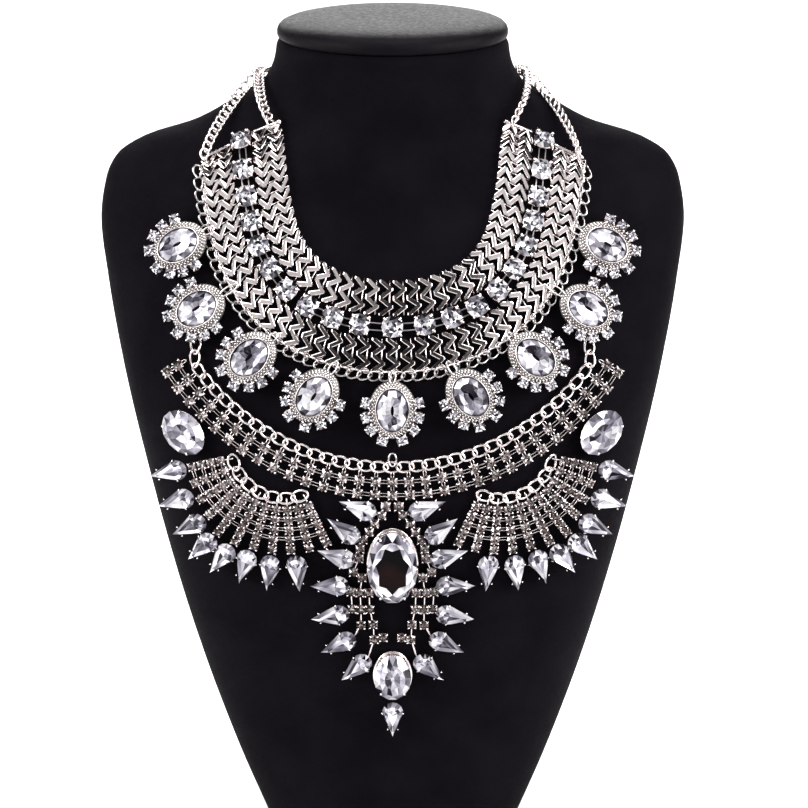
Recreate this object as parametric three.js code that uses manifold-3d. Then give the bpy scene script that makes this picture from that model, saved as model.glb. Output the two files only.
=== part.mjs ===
// A crystal bib necklace shown on a plain neck bust.
// Millimetres, +Z up. The bust faces -Y and its left-right middle is the plane X = 0.

import * as THREE from 'three';
import { mergeVertices } from 'three/addons/utils/BufferGeometryUtils.js';
import Module from 'manifold-3d';

const wasm = await Module();
wasm.setup();

// ---------------------------------------------------------------- driving sizes

// Neck bust, level by level: height, half width, front, back and how square the section is.
const BUST = [
  [0, 48, -46, 36, 2.5],
  [40, 64, -54, 40, 2.5],
  [80, 77.5, -60, 43, 2.6],
  [120, 88.8, -65, 46, 2.7],
  [160, 98.5, -67, 48, 2.8],
  [200, 107.3, -63, 49, 2.9],
  [235, 113.5, -53, 50, 2.9],
  [257, 116.2, -44, 50, 2.7],
  [271, 114.3, -40, 50, 2.3],
  [280, 110, -39, 50, 1.9],
  [287.5, 99, -38.5, 50, 1.6],
  [294, 79, -38.5, 50, 1.5],
  [302, 64.2, -38.5, 50, 1.6],
  [311, 50.6, -38.5, 50, 1.85],
  [320, 46.6, -38.5, 50, 2],
  [327, 45.7, -38.5, 50, 2],
];
const BUST_SIDES = 26;
const BUST_EXTRA_LEVELS = [218];

// Padded lid on the neck: share of the neck's size, and height above the seam.
const CAP = [
  [0.985, 0],
  [1, 2.6],
  [0.955, 7],
  [0.8, 8.6],
];
const SEAM_GAP = 0.3;

// The necklace is stiff, so beyond this half width it leaves the rounding chest and
// runs on nearly straight. The change comes in between the two heights.
const FLAT_FROM = 50;
const FLAT_SLOPE = 0.22;
const FLAT_BELOW = 200;
const ROUND_ABOVE = 215;

// Heights above the bust, measured square to it.
const METAL_BACK = 0.95;
const STRAP_FRONT = 2.7;
const CHAIN_FRONT = 2.8;
const NET_FRONT = 3.3;
const FIT = 0.35;

// Collar: the middle line of its crystals from the centre front to the right shoulder.
const COLLAR = [
  [0, 224.5],
  [20, 227],
  [38, 235.5],
  [50, 250],
  [55.5, 268],
  [58.5, 291.5],
  [59.6, 300],
];
// Where the bands end along that line, as a share of it, and how much sooner they end for
// each millimetre away from the neck.
const COLLAR_END = 0.914;
const COLLAR_END_SLOPE = 0.0034;
// Two flat bands beside the crystals: inner edge, outer edge and height of the back.
const STRAP_INNER = { edges: [-17, -4.3], back: METAL_BACK + 0.2 };
const STRAP_OUTER = { edges: [4.3, 16.6], back: METAL_BACK };
const STRAP_STEPS = 28;

// Round crystals in claw cups; they stand a little closer towards the shoulders.
const CRYSTALS = { count: 21, perStretch: 7, end: 0.905, spread: 0.9 };
const CUP = { radius: 4.35, sides: 8, levels: [[0.66, 0], [1, 3.2], [0.62, 4.6]] };
const CUP_WIRE = { radius: 0.6, rise: 1, sides: 3 };

// Chains.
const EDGE_CHAIN = { radius: 1.0, offset: 18, steps: 24 };
const SWAG = { centreZ: 267.6, radius: 96, halfWidth: 2.65, reach: 52.2, steps: 24 };
// The swag chain's ends turn up to hang behind the second medallions from the end.
const SWAG_TAIL = { rise: 11, outer: 0.8, inner: -1.2 };
const NECK_CHAIN = { radius: 1.4, backSteps: 20, frontSteps: 5 };
// The chain behind the neck: height at the back, rise towards the sides, distance kept.
const NECK_LOOP = { backZ: 299.5, rise: 11.5, clear: 2 };
const CLASP = { length: 11, radius: 2, sides: 8 };

// Rhinestone net under the swag chain.
const NET = {
  columns: 31, reach: 54.3, rows: [101.9, 107.1], stoneHalf: 2.3, barHalf: 0.5, hooks: 0.6,
};

// Oval medallions, right half: middle x, middle z, tilt of the outer end below level, bail.
const MEDALLIONS = [
  [0, 194, 90, 3.3],
  [30, 199.3, 56, 4.3],
  [54.4, 212.8, 42, 2.3],
  [74.2, 229.8, 33, 6.8],
  [81.6, 252, 29, 3.8],
];
const MEDALLION = { long: 10.7, wide: 8.6, back: 3.1, plate: 2.7, bailHalf: 0.8 };
// Bezel and stone on the plate: distance in from the plate's edge, and height.
const MEDALLION_DOME = { sides: 12, levels: [[1.2, 1], [1.2, 3.4], [5, 5]] };
// Square seats of the small stones, and the plate's corners on the side without any.
const HALO = { angles: [18, 47, 74, 105], cup: 4.5, sunk: 0.9 };
const PLATE_CORNERS = [143, 217];

// Side fans, right half: loop of chain with strands of rhinestones and drops round it.
const FAN = {
  x: 42.5, z: 178.5, loop: 19.8, start: -114.3, end: -14.7, strands: 11,
  strandHalf: 1.6, bars: [28, 34.6], barHalf: 0.5,
};
const FAN_LOOP = [-117.3, -11.7];
// Fan drops, right half: tip x, tip z and the way the tip points, from level, in degrees.
const FAN_DROPS = [
  [94.5, 164.5, -16],
  [91.5, 152.5, -20],
  [86, 141, -29],
  [80, 130.8, -45],
  [71.5, 125.7, -53.5],
  [59.8, 121.9, -73],
  [48.8, 119.9, -82],
  [36.1, 120.3, -95],
];

// Pendant drops, right half: tip x, tip z and the way the tip points.
const PENDANT_DROPS = [
  [20.8, 158.2, 21],
  [25.3, 151.3, 38],
  [29.3, 137.9, 18],
  [32.2, 123, -1],
  [31.9, 108.9, -11],
  [28.1, 94.6, -28],
  [20.3, 82.5, -43],
];
const DROP = { length: 15.4, radius: 4.1, arc: 7, levels: [[0.86, 0], [1, 2.2], [0.5, 4.4]] };
const DROP_CLEAR = DROP.radius + 0.32;

// Large oval stones: middle, half width, half length, lean in degrees, height of the back
// above the bust, thickness, and how far the setting stands out (none: it hangs on the net).
const CENTRE_OVAL = { x: 0, z: 131.5, across: 10, along: 15, lean: 90, lift: 2, height: 6.4, rim: 1.6 };
const FOOT_OVAL = { x: 0, z: 84.5, across: 7.5, along: 10, lean: 90, lift: 2, height: 5, rim: 2 };
const SIDE_OVAL = { x: 80.8, z: 182.7, across: 7.5, along: 10, lean: 48, lift: 0.8, height: 5.4 };
const OVAL_SIDES = 12;
const SETTING_DEPTH = 0.8;
const FOOT_DROP_TIP = 57.6;

// ---------------------------------------------------------------- materials

const steel = { roughness: 0.22, metalness: 1 };
const metalWhite = new THREE.MeshStandardMaterial({ color: '#d9d3d0', ...steel });
const crystal = new THREE.MeshStandardMaterial({ color: '#e6e4f2', roughness: 0.05, metalness: 0.1 });
const leather = new THREE.MeshStandardMaterial({ color: '#19161b', roughness: 0.5, metalness: 0 });

const group = new THREE.Group();

const add = (name, geometry, material, matrix) => {
  const mesh = new THREE.Mesh(geometry, material.clone());
  mesh.name = name;
  if (matrix) {
    mesh.applyMatrix4(matrix);
  }
  group.add(mesh);
};

// ---------------------------------------------------------------- form of the bust

// Smooth curve through table rows that never swings past them (monotone cubic).
const smoothTable = (rows, column) => {
  const xs = rows.map((row) => row[0]);
  const ys = rows.map((row) => row[column]);
  const width = xs.slice(1).map((x, i) => x - xs[i]);
  const slope = width.map((w, i) => (ys[i + 1] - ys[i]) / w);
  const tangent = ys.map((_, i) => {
    if (i === 0) {
      return slope[0];
    }
    if (i === ys.length - 1) {
      return slope[i - 1];
    }
    if (slope[i - 1] * slope[i] <= 0) {
      return 0;
    }
    const before = 2 * width[i] + width[i - 1];
    const after = width[i] + 2 * width[i - 1];
    return (before + after) / (before / slope[i - 1] + after / slope[i]);
  });
  return (x) => {
    let i = 0;
    while (i < width.length - 1 && x > xs[i + 1]) {
      i += 1;
    }
    const t = (x - xs[i]) / width[i];
    const u = 1 - t;
    return ys[i] * u * u * (1 + 2 * t) + ys[i + 1] * t * t * (3 - 2 * t)
      + width[i] * t * u * (tangent[i] * u - tangent[i + 1] * t);
  };
};

const halfWidthAt = smoothTable(BUST, 1);
const frontAt = smoothTable(BUST, 2);
const backAt = smoothTable(BUST, 3);
const powerAt = smoothTable(BUST, 4);

// One level section: a rounded oval, seen from above and running anticlockwise.
const sectionRing = (level, height, share = 1, sides = BUST_SIDES) => {
  const middle = (frontAt(level) + backAt(level)) / 2;
  const depth = (backAt(level) - frontAt(level)) / 2;
  const bend = 2 / powerAt(level);
  return Array.from({ length: sides }, (_, i) => {
    const angle = (2 * Math.PI * i) / sides;
    const c = Math.cos(angle);
    const s = Math.sin(angle);
    const x = halfWidthAt(level) * Math.sign(c) * Math.abs(c) ** bend;
    const y = depth * Math.sign(s) * Math.abs(s) ** bend;
    return new THREE.Vector3(x * share, middle + y * share, height);
  });
};

const chestAt = (x, z) => {
  const middle = (frontAt(z) + backAt(z)) / 2;
  const depth = (backAt(z) - frontAt(z)) / 2;
  const power = powerAt(z);
  const side = Math.min(Math.abs(x) / halfWidthAt(z), 1);
  return middle - depth * (1 - side ** power) ** (1 / power);
};

// Front surface that the necklace follows.
const drapeAt = (x, z) => {
  const chest = chestAt(x, z);
  const beyond = Math.abs(x) - FLAT_FROM;
  if (beyond <= 0 || z >= ROUND_ABOVE) {
    return chest;
  }
  const flat = Math.min(chest, chestAt(FLAT_FROM, z) + FLAT_SLOPE * beyond);
  return z <= FLAT_BELOW ? flat : THREE.MathUtils.mapLinear(z, FLAT_BELOW, ROUND_ABOVE, flat, chest);
};

const normalAt = (x, z) => {
  const reach = 0.5;
  const slopeX = (drapeAt(x + reach, z) - drapeAt(x - reach, z)) / (2 * reach);
  const slopeZ = (drapeAt(x, z + reach) - drapeAt(x, z - reach)) / (2 * reach);
  return new THREE.Vector3(slopeX, -1, slopeZ).normalize();
};

const onBust = ([x, z], lift) =>
  new THREE.Vector3(x, drapeAt(x, z), z).addScaledVector(normalAt(x, z), lift);

// Place for a flat piece: its own X points along the given angle in the front view,
// its own Z points away from the bust.
const seat = (x, z, degrees, lift) => {
  const out = normalAt(x, z);
  const angle = THREE.MathUtils.degToRad(degrees);
  const along = new THREE.Vector3(Math.cos(angle), 0, Math.sin(angle));
  along.y = -(out.x * along.x + out.z * along.z) / out.y;
  along.normalize();
  const across = new THREE.Vector3().crossVectors(out, along);
  const matrix = new THREE.Matrix4().makeBasis(along, across, out);
  return matrix.setPosition(onBust([x, z], lift));
};

// ---------------------------------------------------------------- solids

// Closed skin over rings of points; each ring runs anticlockwise seen from the last one.
const skin = (rings) => {
  const count = rings[0].length;
  const index = [];
  for (let r = 0; r < rings.length - 1; r += 1) {
    for (let i = 0; i < count; i += 1) {
      const a = r * count + i;
      const b = r * count + ((i + 1) % count);
      index.push(a, b, b + count, a, b + count, a + count);
    }
  }
  const last = (rings.length - 1) * count;
  for (let i = 1; i < count - 1; i += 1) {
    index.push(0, i + 1, i, last, last + i, last + i + 1);
  }
  const geometry = new THREE.BufferGeometry().setFromPoints(rings.flat());
  geometry.setIndex(index);
  return geometry;
};

// Open-work sheet on the bust: a grid of cells, some of them left out. The point function
// turns grid lines i, j into x and z, and turn is -1 where the grid is mirrored.
const openwork = ({ columns, rows, point, solid, back, front, turn = 1 }) => {
  const points = [];
  const seen = new Map();
  const corner = (i, j, lift) => {
    const key = `${i} ${j} ${lift}`;
    if (!seen.has(key)) {
      seen.set(key, points.length);
      points.push(onBust(point(i, j), lift));
    }
    return seen.get(key);
  };
  const index = [];
  const face = (a, b, c, d) => {
    const corners = turn > 0 ? [a, b, c, a, c, d] : [a, c, b, a, d, c];
    index.push(...corners);
  };
  const filled = (i, j) => i >= 0 && j >= 0 && i < columns && j < rows && solid(i, j);
  const wall = (i0, j0, i1, j1) =>
    face(corner(i0, j0, back), corner(i1, j1, back), corner(i1, j1, front), corner(i0, j0, front));
  for (let i = 0; i < columns; i += 1) {
    for (let j = 0; j < rows; j += 1) {
      if (filled(i, j)) {
        face(...[[i, j], [i + 1, j], [i + 1, j + 1], [i, j + 1]].map(([a, b]) => corner(a, b, front)));
        face(...[[i, j], [i, j + 1], [i + 1, j + 1], [i + 1, j]].map(([a, b]) => corner(a, b, back)));
        if (!filled(i, j - 1)) {
          wall(i, j, i + 1, j);
        }
        if (!filled(i + 1, j)) {
          wall(i + 1, j, i + 1, j + 1);
        }
        if (!filled(i, j + 1)) {
          wall(i + 1, j + 1, i, j + 1);
        }
        if (!filled(i - 1, j)) {
          wall(i, j + 1, i, j);
        }
      }
    }
  }
  const geometry = new THREE.BufferGeometry().setFromPoints(points);
  geometry.setIndex(index);
  return geometry;
};

const join = (geometries) => {
  const solids = geometries.map((source) => {
    const bare = source.clone();
    bare.deleteAttribute('normal');
    bare.deleteAttribute('uv');
    const merged = mergeVertices(bare, 1e-4);
    return new wasm.Manifold(new wasm.Mesh({
      numProp: 3,
      vertProperties: new Float32Array(merged.attributes.position.array),
      triVerts: new Uint32Array(merged.index.array),
    }));
  });
  const whole = solids.reduce((a, b) => a.add(b)).getMesh();
  const geometry = new THREE.BufferGeometry();
  geometry.setAttribute('position', new THREE.BufferAttribute(whole.vertProperties, 3));
  geometry.setIndex(new THREE.BufferAttribute(whole.triVerts, 1));
  return geometry;
};

const tube = (points, radius, steps, sides = 8) => {
  const section = new THREE.Shape();
  for (let i = 0; i < sides; i += 1) {
    const angle = (2 * Math.PI * i) / sides;
    section[i ? 'lineTo' : 'moveTo'](radius * Math.cos(angle), radius * Math.sin(angle));
  }
  const path = new THREE.CatmullRomCurve3(points, false, 'centripetal');
  return new THREE.ExtrudeGeometry(section, { steps, extrudePath: path, bevelEnabled: false });
};

// Flat-backed stone: an outline in its own X and Y, taken through shares and heights.
const stone = (outline, levels) =>
  skin(levels.map(([share, height]) =>
    outline.map(([x, y]) => new THREE.Vector3(x * share, y * share, height))));

const ovalOutline = (along, across, sides) =>
  Array.from({ length: sides }, (_, i) => {
    const angle = (2 * Math.PI * (i + 0.5)) / sides;
    return [along * Math.cos(angle), across * Math.sin(angle)];
  });

// ---------------------------------------------------------------- bust

const bustLevels = [...BUST.map((row) => row[0]), ...BUST_EXTRA_LEVELS].sort((a, b) => a - b);
add('neck_bust', skin(bustLevels.map((level) => sectionRing(level, level))), leather);

const seamHeight = BUST[BUST.length - 1][0];
const capRings = CAP.map(([share, rise]) =>
  sectionRing(seamHeight, seamHeight + SEAM_GAP + rise, share));
add('neck_cap', skin(capRings), leather);

// ---------------------------------------------------------------- collar

const collarHalf = COLLAR.map(([x, z]) => new THREE.Vector3(x, 0, z));
const collarMirror = collarHalf.slice(1).reverse().map((p) => new THREE.Vector3(-p.x, 0, p.z));
const collarCurve = new THREE.CatmullRomCurve3([...collarMirror, ...collarHalf], false, 'centripetal');

// Point beside the row of crystals: place from -1 (left end) to 1 (right end),
// offset in millimetres away from the neck.
const besideCollar = (place, offset) => {
  const share = (1 + place) / 2;
  const middle = collarCurve.getPointAt(share);
  const ahead = collarCurve.getTangentAt(share);
  return [middle.x + ahead.z * offset, middle.z - ahead.x * offset];
};

// The same, with -1 and 1 at the slanting ends of the bands.
const inCollar = (place, offset) =>
  besideCollar(place * (COLLAR_END - COLLAR_END_SLOPE * offset), offset);

const strap = ({ edges: [inner, outer], back }) =>
  openwork({
    columns: STRAP_STEPS,
    rows: 1,
    point: (i, j) => inCollar((2 * i) / STRAP_STEPS - 1, j ? inner : outer),
    solid: () => true,
    back,
    front: STRAP_FRONT,
  });
add('collar_strap_inner', strap(STRAP_INNER), metalWhite);
add('collar_strap_outer', strap(STRAP_OUTER), metalWhite);

// Crystals in their claw cups, held together by a wire at the back.
const cupCorner = CUP.radius / Math.cos(Math.PI / CUP.sides);
const claw = stone(ovalOutline(cupCorner, cupCorner, CUP.sides), CUP.levels);
const crystalPlace = (n) => {
  const side = (2 * n) / (CRYSTALS.count - 1) - 1;
  return CRYSTALS.end * Math.sign(side) * Math.abs(side) ** CRYSTALS.spread;
};
const crystalSeat = (n) => {
  const [x, z] = besideCollar(crystalPlace(n), 0);
  const [aheadX, aheadZ] = besideCollar(crystalPlace(n) + 0.01 * (n ? -1 : 1), 0);
  const way = THREE.MathUtils.radToDeg(Math.atan2(aheadZ - z, aheadX - x));
  return seat(x, z, way, METAL_BACK);
};
['left', 'front', 'right'].forEach((stretch, s) => {
  const numbers = Array.from({ length: CRYSTALS.perStretch }, (_, i) => s * CRYSTALS.perStretch + i);
  const cups = numbers.map((n) => claw.clone().applyMatrix4(crystalSeat(n)));
  const wirePoints = numbers.map((n) => onBust(besideCollar(crystalPlace(n), 0), METAL_BACK + CUP_WIRE.rise));
  const wire = tube(wirePoints, CUP_WIRE.radius, numbers.length - 1, CUP_WIRE.sides);
  add(`collar_crystals_${stretch}`, join([wire, ...cups]), crystal);
});

// ---------------------------------------------------------------- small chains

const edgePoints = Array.from({ length: 25 }, (_, i) =>
  onBust(inCollar(i / 12 - 1, EDGE_CHAIN.offset), METAL_BACK + EDGE_CHAIN.radius));
add('edge_chain', tube(edgePoints, EDGE_CHAIN.radius, EDGE_CHAIN.steps), metalWhite);

// ---------------------------------------------------------------- medallions

// Plate of a medallion: an oval with a square seat for each small stone, and the bail.
const medallionPlate = (bail) => {
  const { long, wide } = MEDALLION;
  const outline = [];
  const corner = (degrees, out, side) => {
    const angle = THREE.MathUtils.degToRad(degrees);
    const rim = (long * wide) / Math.hypot(wide * Math.cos(angle), long * Math.sin(angle));
    const reach = rim + out;
    outline.push([degrees, new THREE.Vector2(
      reach * Math.cos(angle) - side * Math.sin(angle),
      reach * Math.sin(angle) + side * Math.cos(angle),
    )]);
  };
  const tongue = (degrees, out, half) =>
    [[-0.5, -half], [out, -half], [out, half], [-0.5, half]].forEach(([reach, side]) =>
      corner(degrees, reach, side));
  HALO.angles.forEach((degrees) => {
    tongue(-degrees, HALO.cup - HALO.sunk, HALO.cup / 2);
    tongue(degrees, HALO.cup - HALO.sunk, HALO.cup / 2);
  });
  PLATE_CORNERS.forEach((degrees) => corner(degrees, 0, 0));
  tongue(180, bail, MEDALLION.bailHalf);
  const inOrder = outline.map(([degrees, point]) => [(degrees + 360) % 360, point])
    .sort((a, b) => a[0] - b[0]);
  const shape = new THREE.Shape(inOrder.map(([, point]) => point));
  return new THREE.ExtrudeGeometry(shape, { depth: MEDALLION.plate, bevelEnabled: false });
};

const medallion = (bail) => {
  const { long, wide } = MEDALLION;
  const { sides, levels } = MEDALLION_DOME;
  const dome = skin(levels.map(([inset, height]) =>
    ovalOutline(long - inset, wide - inset, sides).map(([x, y]) => new THREE.Vector3(x, y, height))));
  return join([medallionPlate(bail), dome]);
};

MEDALLIONS.forEach(([x, z, tilt, bail], n) => {
  const geometry = medallion(bail);
  if (x === 0) {
    add('medallion_front', geometry, metalWhite, seat(x, z, -tilt, MEDALLION.back));
    return;
  }
  add(`medallion_right_${n}`, geometry, metalWhite, seat(x, z, -tilt, MEDALLION.back));
  add(`medallion_left_${n}`, geometry, metalWhite, seat(-x, z, tilt - 180, MEDALLION.back));
});

// ---------------------------------------------------------------- swag chain and net

const aroundSwag = (degrees, radius) => {
  const angle = THREE.MathUtils.degToRad(degrees);
  return [radius * Math.sin(angle), SWAG.centreZ - radius * Math.cos(angle)];
};

const swagPoint = (i, j) => {
  const radius = SWAG.radius + SWAG.halfWidth * (j ? -1 : 1);
  const inside = Math.min(Math.max(i - 1, 0), SWAG.steps);
  const [x, z] = aroundSwag(SWAG.reach * ((2 * inside) / SWAG.steps - 1), radius);
  const aside = j ? SWAG_TAIL.inner : SWAG_TAIL.outer;
  return inside === i - 1 ? [x, z] : [x + Math.sign(x) * aside, z + SWAG_TAIL.rise];
};
add('swag_chain', openwork({
  columns: SWAG.steps + 2,
  rows: 1,
  point: swagPoint,
  solid: () => true,
  back: METAL_BACK,
  front: CHAIN_FRONT,
}), metalWhite);

const [netTop, netLow] = NET.rows;
const netLines = [
  netTop - NET.stoneHalf - NET.hooks,
  netTop - NET.barHalf,
  netTop + NET.barHalf,
  netLow + NET.stoneHalf - 2 * NET.barHalf,
  netLow + NET.stoneHalf,
];
const netPoint = (i, j) => {
  const column = Math.floor(i / 2);
  const middle = NET.reach * ((2 * column) / (NET.columns - 1) - 1);
  const edge = (i % 2 ? 1 : -1) * THREE.MathUtils.radToDeg(NET.stoneHalf / netTop);
  return aroundSwag(middle + edge, netLines[netLines.length - 1 - j]);
};
add('stone_net', openwork({
  columns: 2 * NET.columns - 1,
  rows: netLines.length - 1,
  point: netPoint,
  solid: (i, j) => i % 2 === 0 || j % 2 === 0,
  back: METAL_BACK,
  front: NET_FRONT,
}), metalWhite);

// ---------------------------------------------------------------- drops

const dropOutline = (() => {
  const tip = DROP.length - DROP.radius;
  const open = Math.acos(DROP.radius / tip);
  const arc = Array.from({ length: DROP.arc }, (_, i) => {
    const angle = open + (i * 2 * (Math.PI - open)) / (DROP.arc - 1);
    return [DROP.radius * Math.cos(angle), DROP.radius * Math.sin(angle)];
  });
  return [[tip, 0], ...arc];
})();
const dropStone = stone(dropOutline, DROP.levels);

const dropMiddle = ([tipX, tipZ, way]) => {
  const angle = THREE.MathUtils.degToRad(way);
  const reach = DROP.length - DROP.radius;
  return [tipX - reach * Math.cos(angle), tipZ - reach * Math.sin(angle)];
};

const addDrops = (family, rows) => {
  rows.forEach((row, n) => {
    const [x, z] = dropMiddle(row);
    add(`${family}_drop_right_${n + 1}`, dropStone, crystal, seat(x, z, row[2], METAL_BACK));
    add(`${family}_drop_left_${n + 1}`, dropStone, crystal, seat(-x, z, 180 - row[2], METAL_BACK));
  });
};
addDrops('fan', FAN_DROPS);
addDrops('pendant', PENDANT_DROPS);
add('foot_drop', dropStone, crystal,
  seat(0, FOOT_DROP_TIP + DROP.length - DROP.radius, -90, METAL_BACK));

// ---------------------------------------------------------------- fans

// Place on the bust beside a drop's round end, at a distance from the end's middle.
const behindDrop = (row, distance) => {
  const [x, z] = dropMiddle(row);
  const angle = THREE.MathUtils.degToRad(row[2]);
  return [x - distance * Math.cos(angle), z - distance * Math.sin(angle)];
};
const fanRims = FAN_DROPS.map((row) => {
  const [x, z] = behindDrop(row, DROP_CLEAR);
  return [THREE.MathUtils.radToDeg(Math.atan2(z - FAN.z, x - FAN.x)), Math.hypot(x - FAN.x, z - FAN.z)];
}).reverse();
const fanRim = (degrees) => {
  const next = fanRims.findIndex(([angle]) => angle > degrees);
  if (next <= 0) {
    return fanRims[next === 0 ? 0 : fanRims.length - 1][1];
  }
  const [[a, low], [b, high]] = [fanRims[next - 1], fanRims[next]];
  return THREE.MathUtils.mapLinear(degrees, a, b, low, high);
};

const fanRings = [
  FAN.loop - SWAG.halfWidth,
  FAN.loop + SWAG.halfWidth,
  ...FAN.bars.flatMap((radius) => [radius - FAN.barHalf, radius + FAN.barHalf]),
];
const fanPoint = (side) => (i, j) => {
  const edge = i - 1;
  const strand = Math.floor(edge / 2);
  if (edge < 0 || strand >= FAN.strands) {
    const angle = THREE.MathUtils.degToRad(edge < 0 ? FAN_LOOP[0] : FAN_LOOP[1]);
    const radius = fanRings[Math.min(j, 1)];
    return [side * (FAN.x + radius * Math.cos(angle)), FAN.z + radius * Math.sin(angle)];
  }
  const way = FAN.start + (strand * (FAN.end - FAN.start)) / (FAN.strands - 1);
  const angle = THREE.MathUtils.degToRad(way);
  const radius = j < fanRings.length ? fanRings[j] : fanRim(way);
  const half = (edge % 2 ? 1 : -1) * FAN.strandHalf * (j ? 1 : 0.5);
  const x = FAN.x + radius * Math.cos(angle) - half * Math.sin(angle);
  const z = FAN.z + radius * Math.sin(angle) + half * Math.cos(angle);
  return [side * x, z];
};
[['left', -1], ['right', 1]].forEach(([name, side]) => {
  add(`fan_${name}`, openwork({
    columns: 2 * FAN.strands + 1,
    rows: fanRings.length,
    point: fanPoint(side),
    solid: (i, j) => {
      if (j === 0) {
        return true;
      }
      const isStrand = i % 2 === 1;
      return isStrand || (i > 0 && i < 2 * FAN.strands && j % 2 === 0);
    },
    back: METAL_BACK,
    front: NET_FRONT,
    turn: -side,
  }), metalWhite);
});

// ---------------------------------------------------------------- large ovals

const addOval = (name, { x, z, across, along, lean, lift, height }) => {
  const outline = ovalOutline(along, across, OVAL_SIDES);
  const levels = [[0.84, 0], [1, height * 0.45], [0.66, height]];
  add(name, stone(outline, levels), crystal, seat(x, z, lean, lift));
};
addOval('centre_oval', CENTRE_OVAL);
addOval('foot_oval', FOOT_OVAL);
addOval('side_oval_right', SIDE_OVAL);
addOval('side_oval_left', { ...SIDE_OVAL, x: -SIDE_OVAL.x, lean: 180 - SIDE_OVAL.lean });

// ---------------------------------------------------------------- pendant frame

// Inner edge of the double row of rhinestones, from the top down, beside each drop.
const PENDANT_INNER = [
  [-0.4, 150.5],
  [7.6, 141.5],
  [10.9, 133.5],
  [9.6, 123],
  [5.8, 112.5],
  [4.4, 104.5],
  [-0.4, 96.7],
];
const PENDANT_TOP = { outer: [4.6, 157.7], inner: [-0.4, 157.7] };
const PENDANT_COLUMNS = [0, 0.44, 0.56, 1];
const BAR_SHARE = 0.12;
const RIM_ASIDE = 0.6;

const pendantOuter = [PENDANT_TOP.outer, ...PENDANT_DROPS.map((row) => behindDrop(row, DROP_CLEAR))];
const pendantInner = [PENDANT_TOP.inner, ...PENDANT_INNER];
const betweenRows = (rows, place) => {
  const low = Math.min(Math.floor(place), rows.length - 2);
  const t = place - low;
  return rows[low].map((value, k) => value + t * (rows[low + 1][k] - value));
};
// Lines across the frame: one pair for each bar, at the top, beside the drops and at the foot.
const pendantLines = pendantOuter.flatMap((_, n) => [n - BAR_SHARE, n + BAR_SHARE])
  .slice(1);
const pendantPoint = (side) => (i, j) => {
  const outer = betweenRows(pendantOuter, pendantLines[j]);
  const inner = betweenRows(pendantInner, pendantLines[j]);
  const [x, z] = outer.map((value, k) => value + PENDANT_COLUMNS[i] * (inner[k] - value));
  return [side * x, z];
};
const pendantSide = (side) =>
  openwork({
    columns: PENDANT_COLUMNS.length - 1,
    rows: pendantLines.length - 1,
    point: pendantPoint(side),
    solid: (i, j) => i !== 1 || j % 2 === 1,
    back: METAL_BACK,
    front: NET_FRONT,
    turn: side,
  });
const backPlate = ({ x, z, across, along, lean, rim }) =>
  stone(ovalOutline(along + rim, across + rim * RIM_ASIDE, OVAL_SIDES), [[1, 0], [1, SETTING_DEPTH]])
    .applyMatrix4(seat(x, z, lean, METAL_BACK));
add('pendant_frame', join([
  pendantSide(1),
  pendantSide(-1),
  backPlate(CENTRE_OVAL),
  backPlate(FOOT_OVAL),
]), metalWhite);

// ---------------------------------------------------------------- neck chains and clasp

// Route from the collar over the shoulder and round the back of the neck, right half.
const CHAIN_MEET = new THREE.Vector3(55, 5.5, 312.3);
const roundNeck = (degrees) => {
  const angle = THREE.MathUtils.degToRad(degrees);
  const z = NECK_LOOP.backZ + NECK_LOOP.rise * Math.cos(angle) ** 2;
  const grow = NECK_CHAIN.radius + NECK_LOOP.clear;
  const middle = (frontAt(z) + backAt(z)) / 2;
  const bend = 2 / powerAt(z);
  const x = (halfWidthAt(z) + grow) * Math.cos(angle) ** bend;
  const y = middle + (backAt(z) - middle + grow) * Math.sin(angle) ** bend;
  return new THREE.Vector3(x, y, z);
};
const backRoute = [12, 25, 38, 50, 62, 73, 81].map(roundNeck);
const mirrored = (points) => points.map((p) => new THREE.Vector3(-p.x, p.y, p.z));
// The chains start on top of the bands, near their ends.
const CHAIN_START = 0.985;
const OVER_STRAP = STRAP_FRONT + 3 * FIT + NECK_CHAIN.radius;
const innerRoute = [
  onBust(inCollar(CHAIN_START, STRAP_INNER.edges[0] + 2.5), OVER_STRAP),
  onBust([47.8, 303], 5.5),
  CHAIN_MEET,
];
const outerRoute = [
  onBust(inCollar(CHAIN_START, STRAP_OUTER.edges[1] - 2), OVER_STRAP),
  onBust([68.5, 290], 4.4),
  new THREE.Vector3(61, -0.5, 305.5),
  CHAIN_MEET,
];
[['left', mirrored], ['right', (points) => points]].forEach(([name, turned]) => {
  add(`neck_chain_${name}`, join([
    tube(turned([...innerRoute, ...backRoute]), NECK_CHAIN.radius, NECK_CHAIN.backSteps),
    tube(turned(outerRoute), NECK_CHAIN.radius, NECK_CHAIN.frontSteps),
  ]), metalWhite);
});

const claspMiddle = roundNeck(90);
const clasp = new THREE.CylinderGeometry(CLASP.radius, CLASP.radius, CLASP.length, CLASP.sides);
const claspPlace = new THREE.Matrix4().makeRotationZ(Math.PI / 2);
claspPlace.setPosition(0, claspMiddle.y + CLASP.radius - NECK_CHAIN.radius, claspMiddle.z);
add('clasp', clasp, metalWhite, claspPlace);

// The origin lies under the middle of the whole thing.
const box = new THREE.Box3().setFromObject(group, true);
group.position.y = -(box.min.y + box.max.y) / 2;

export default group;
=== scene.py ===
import math

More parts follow.
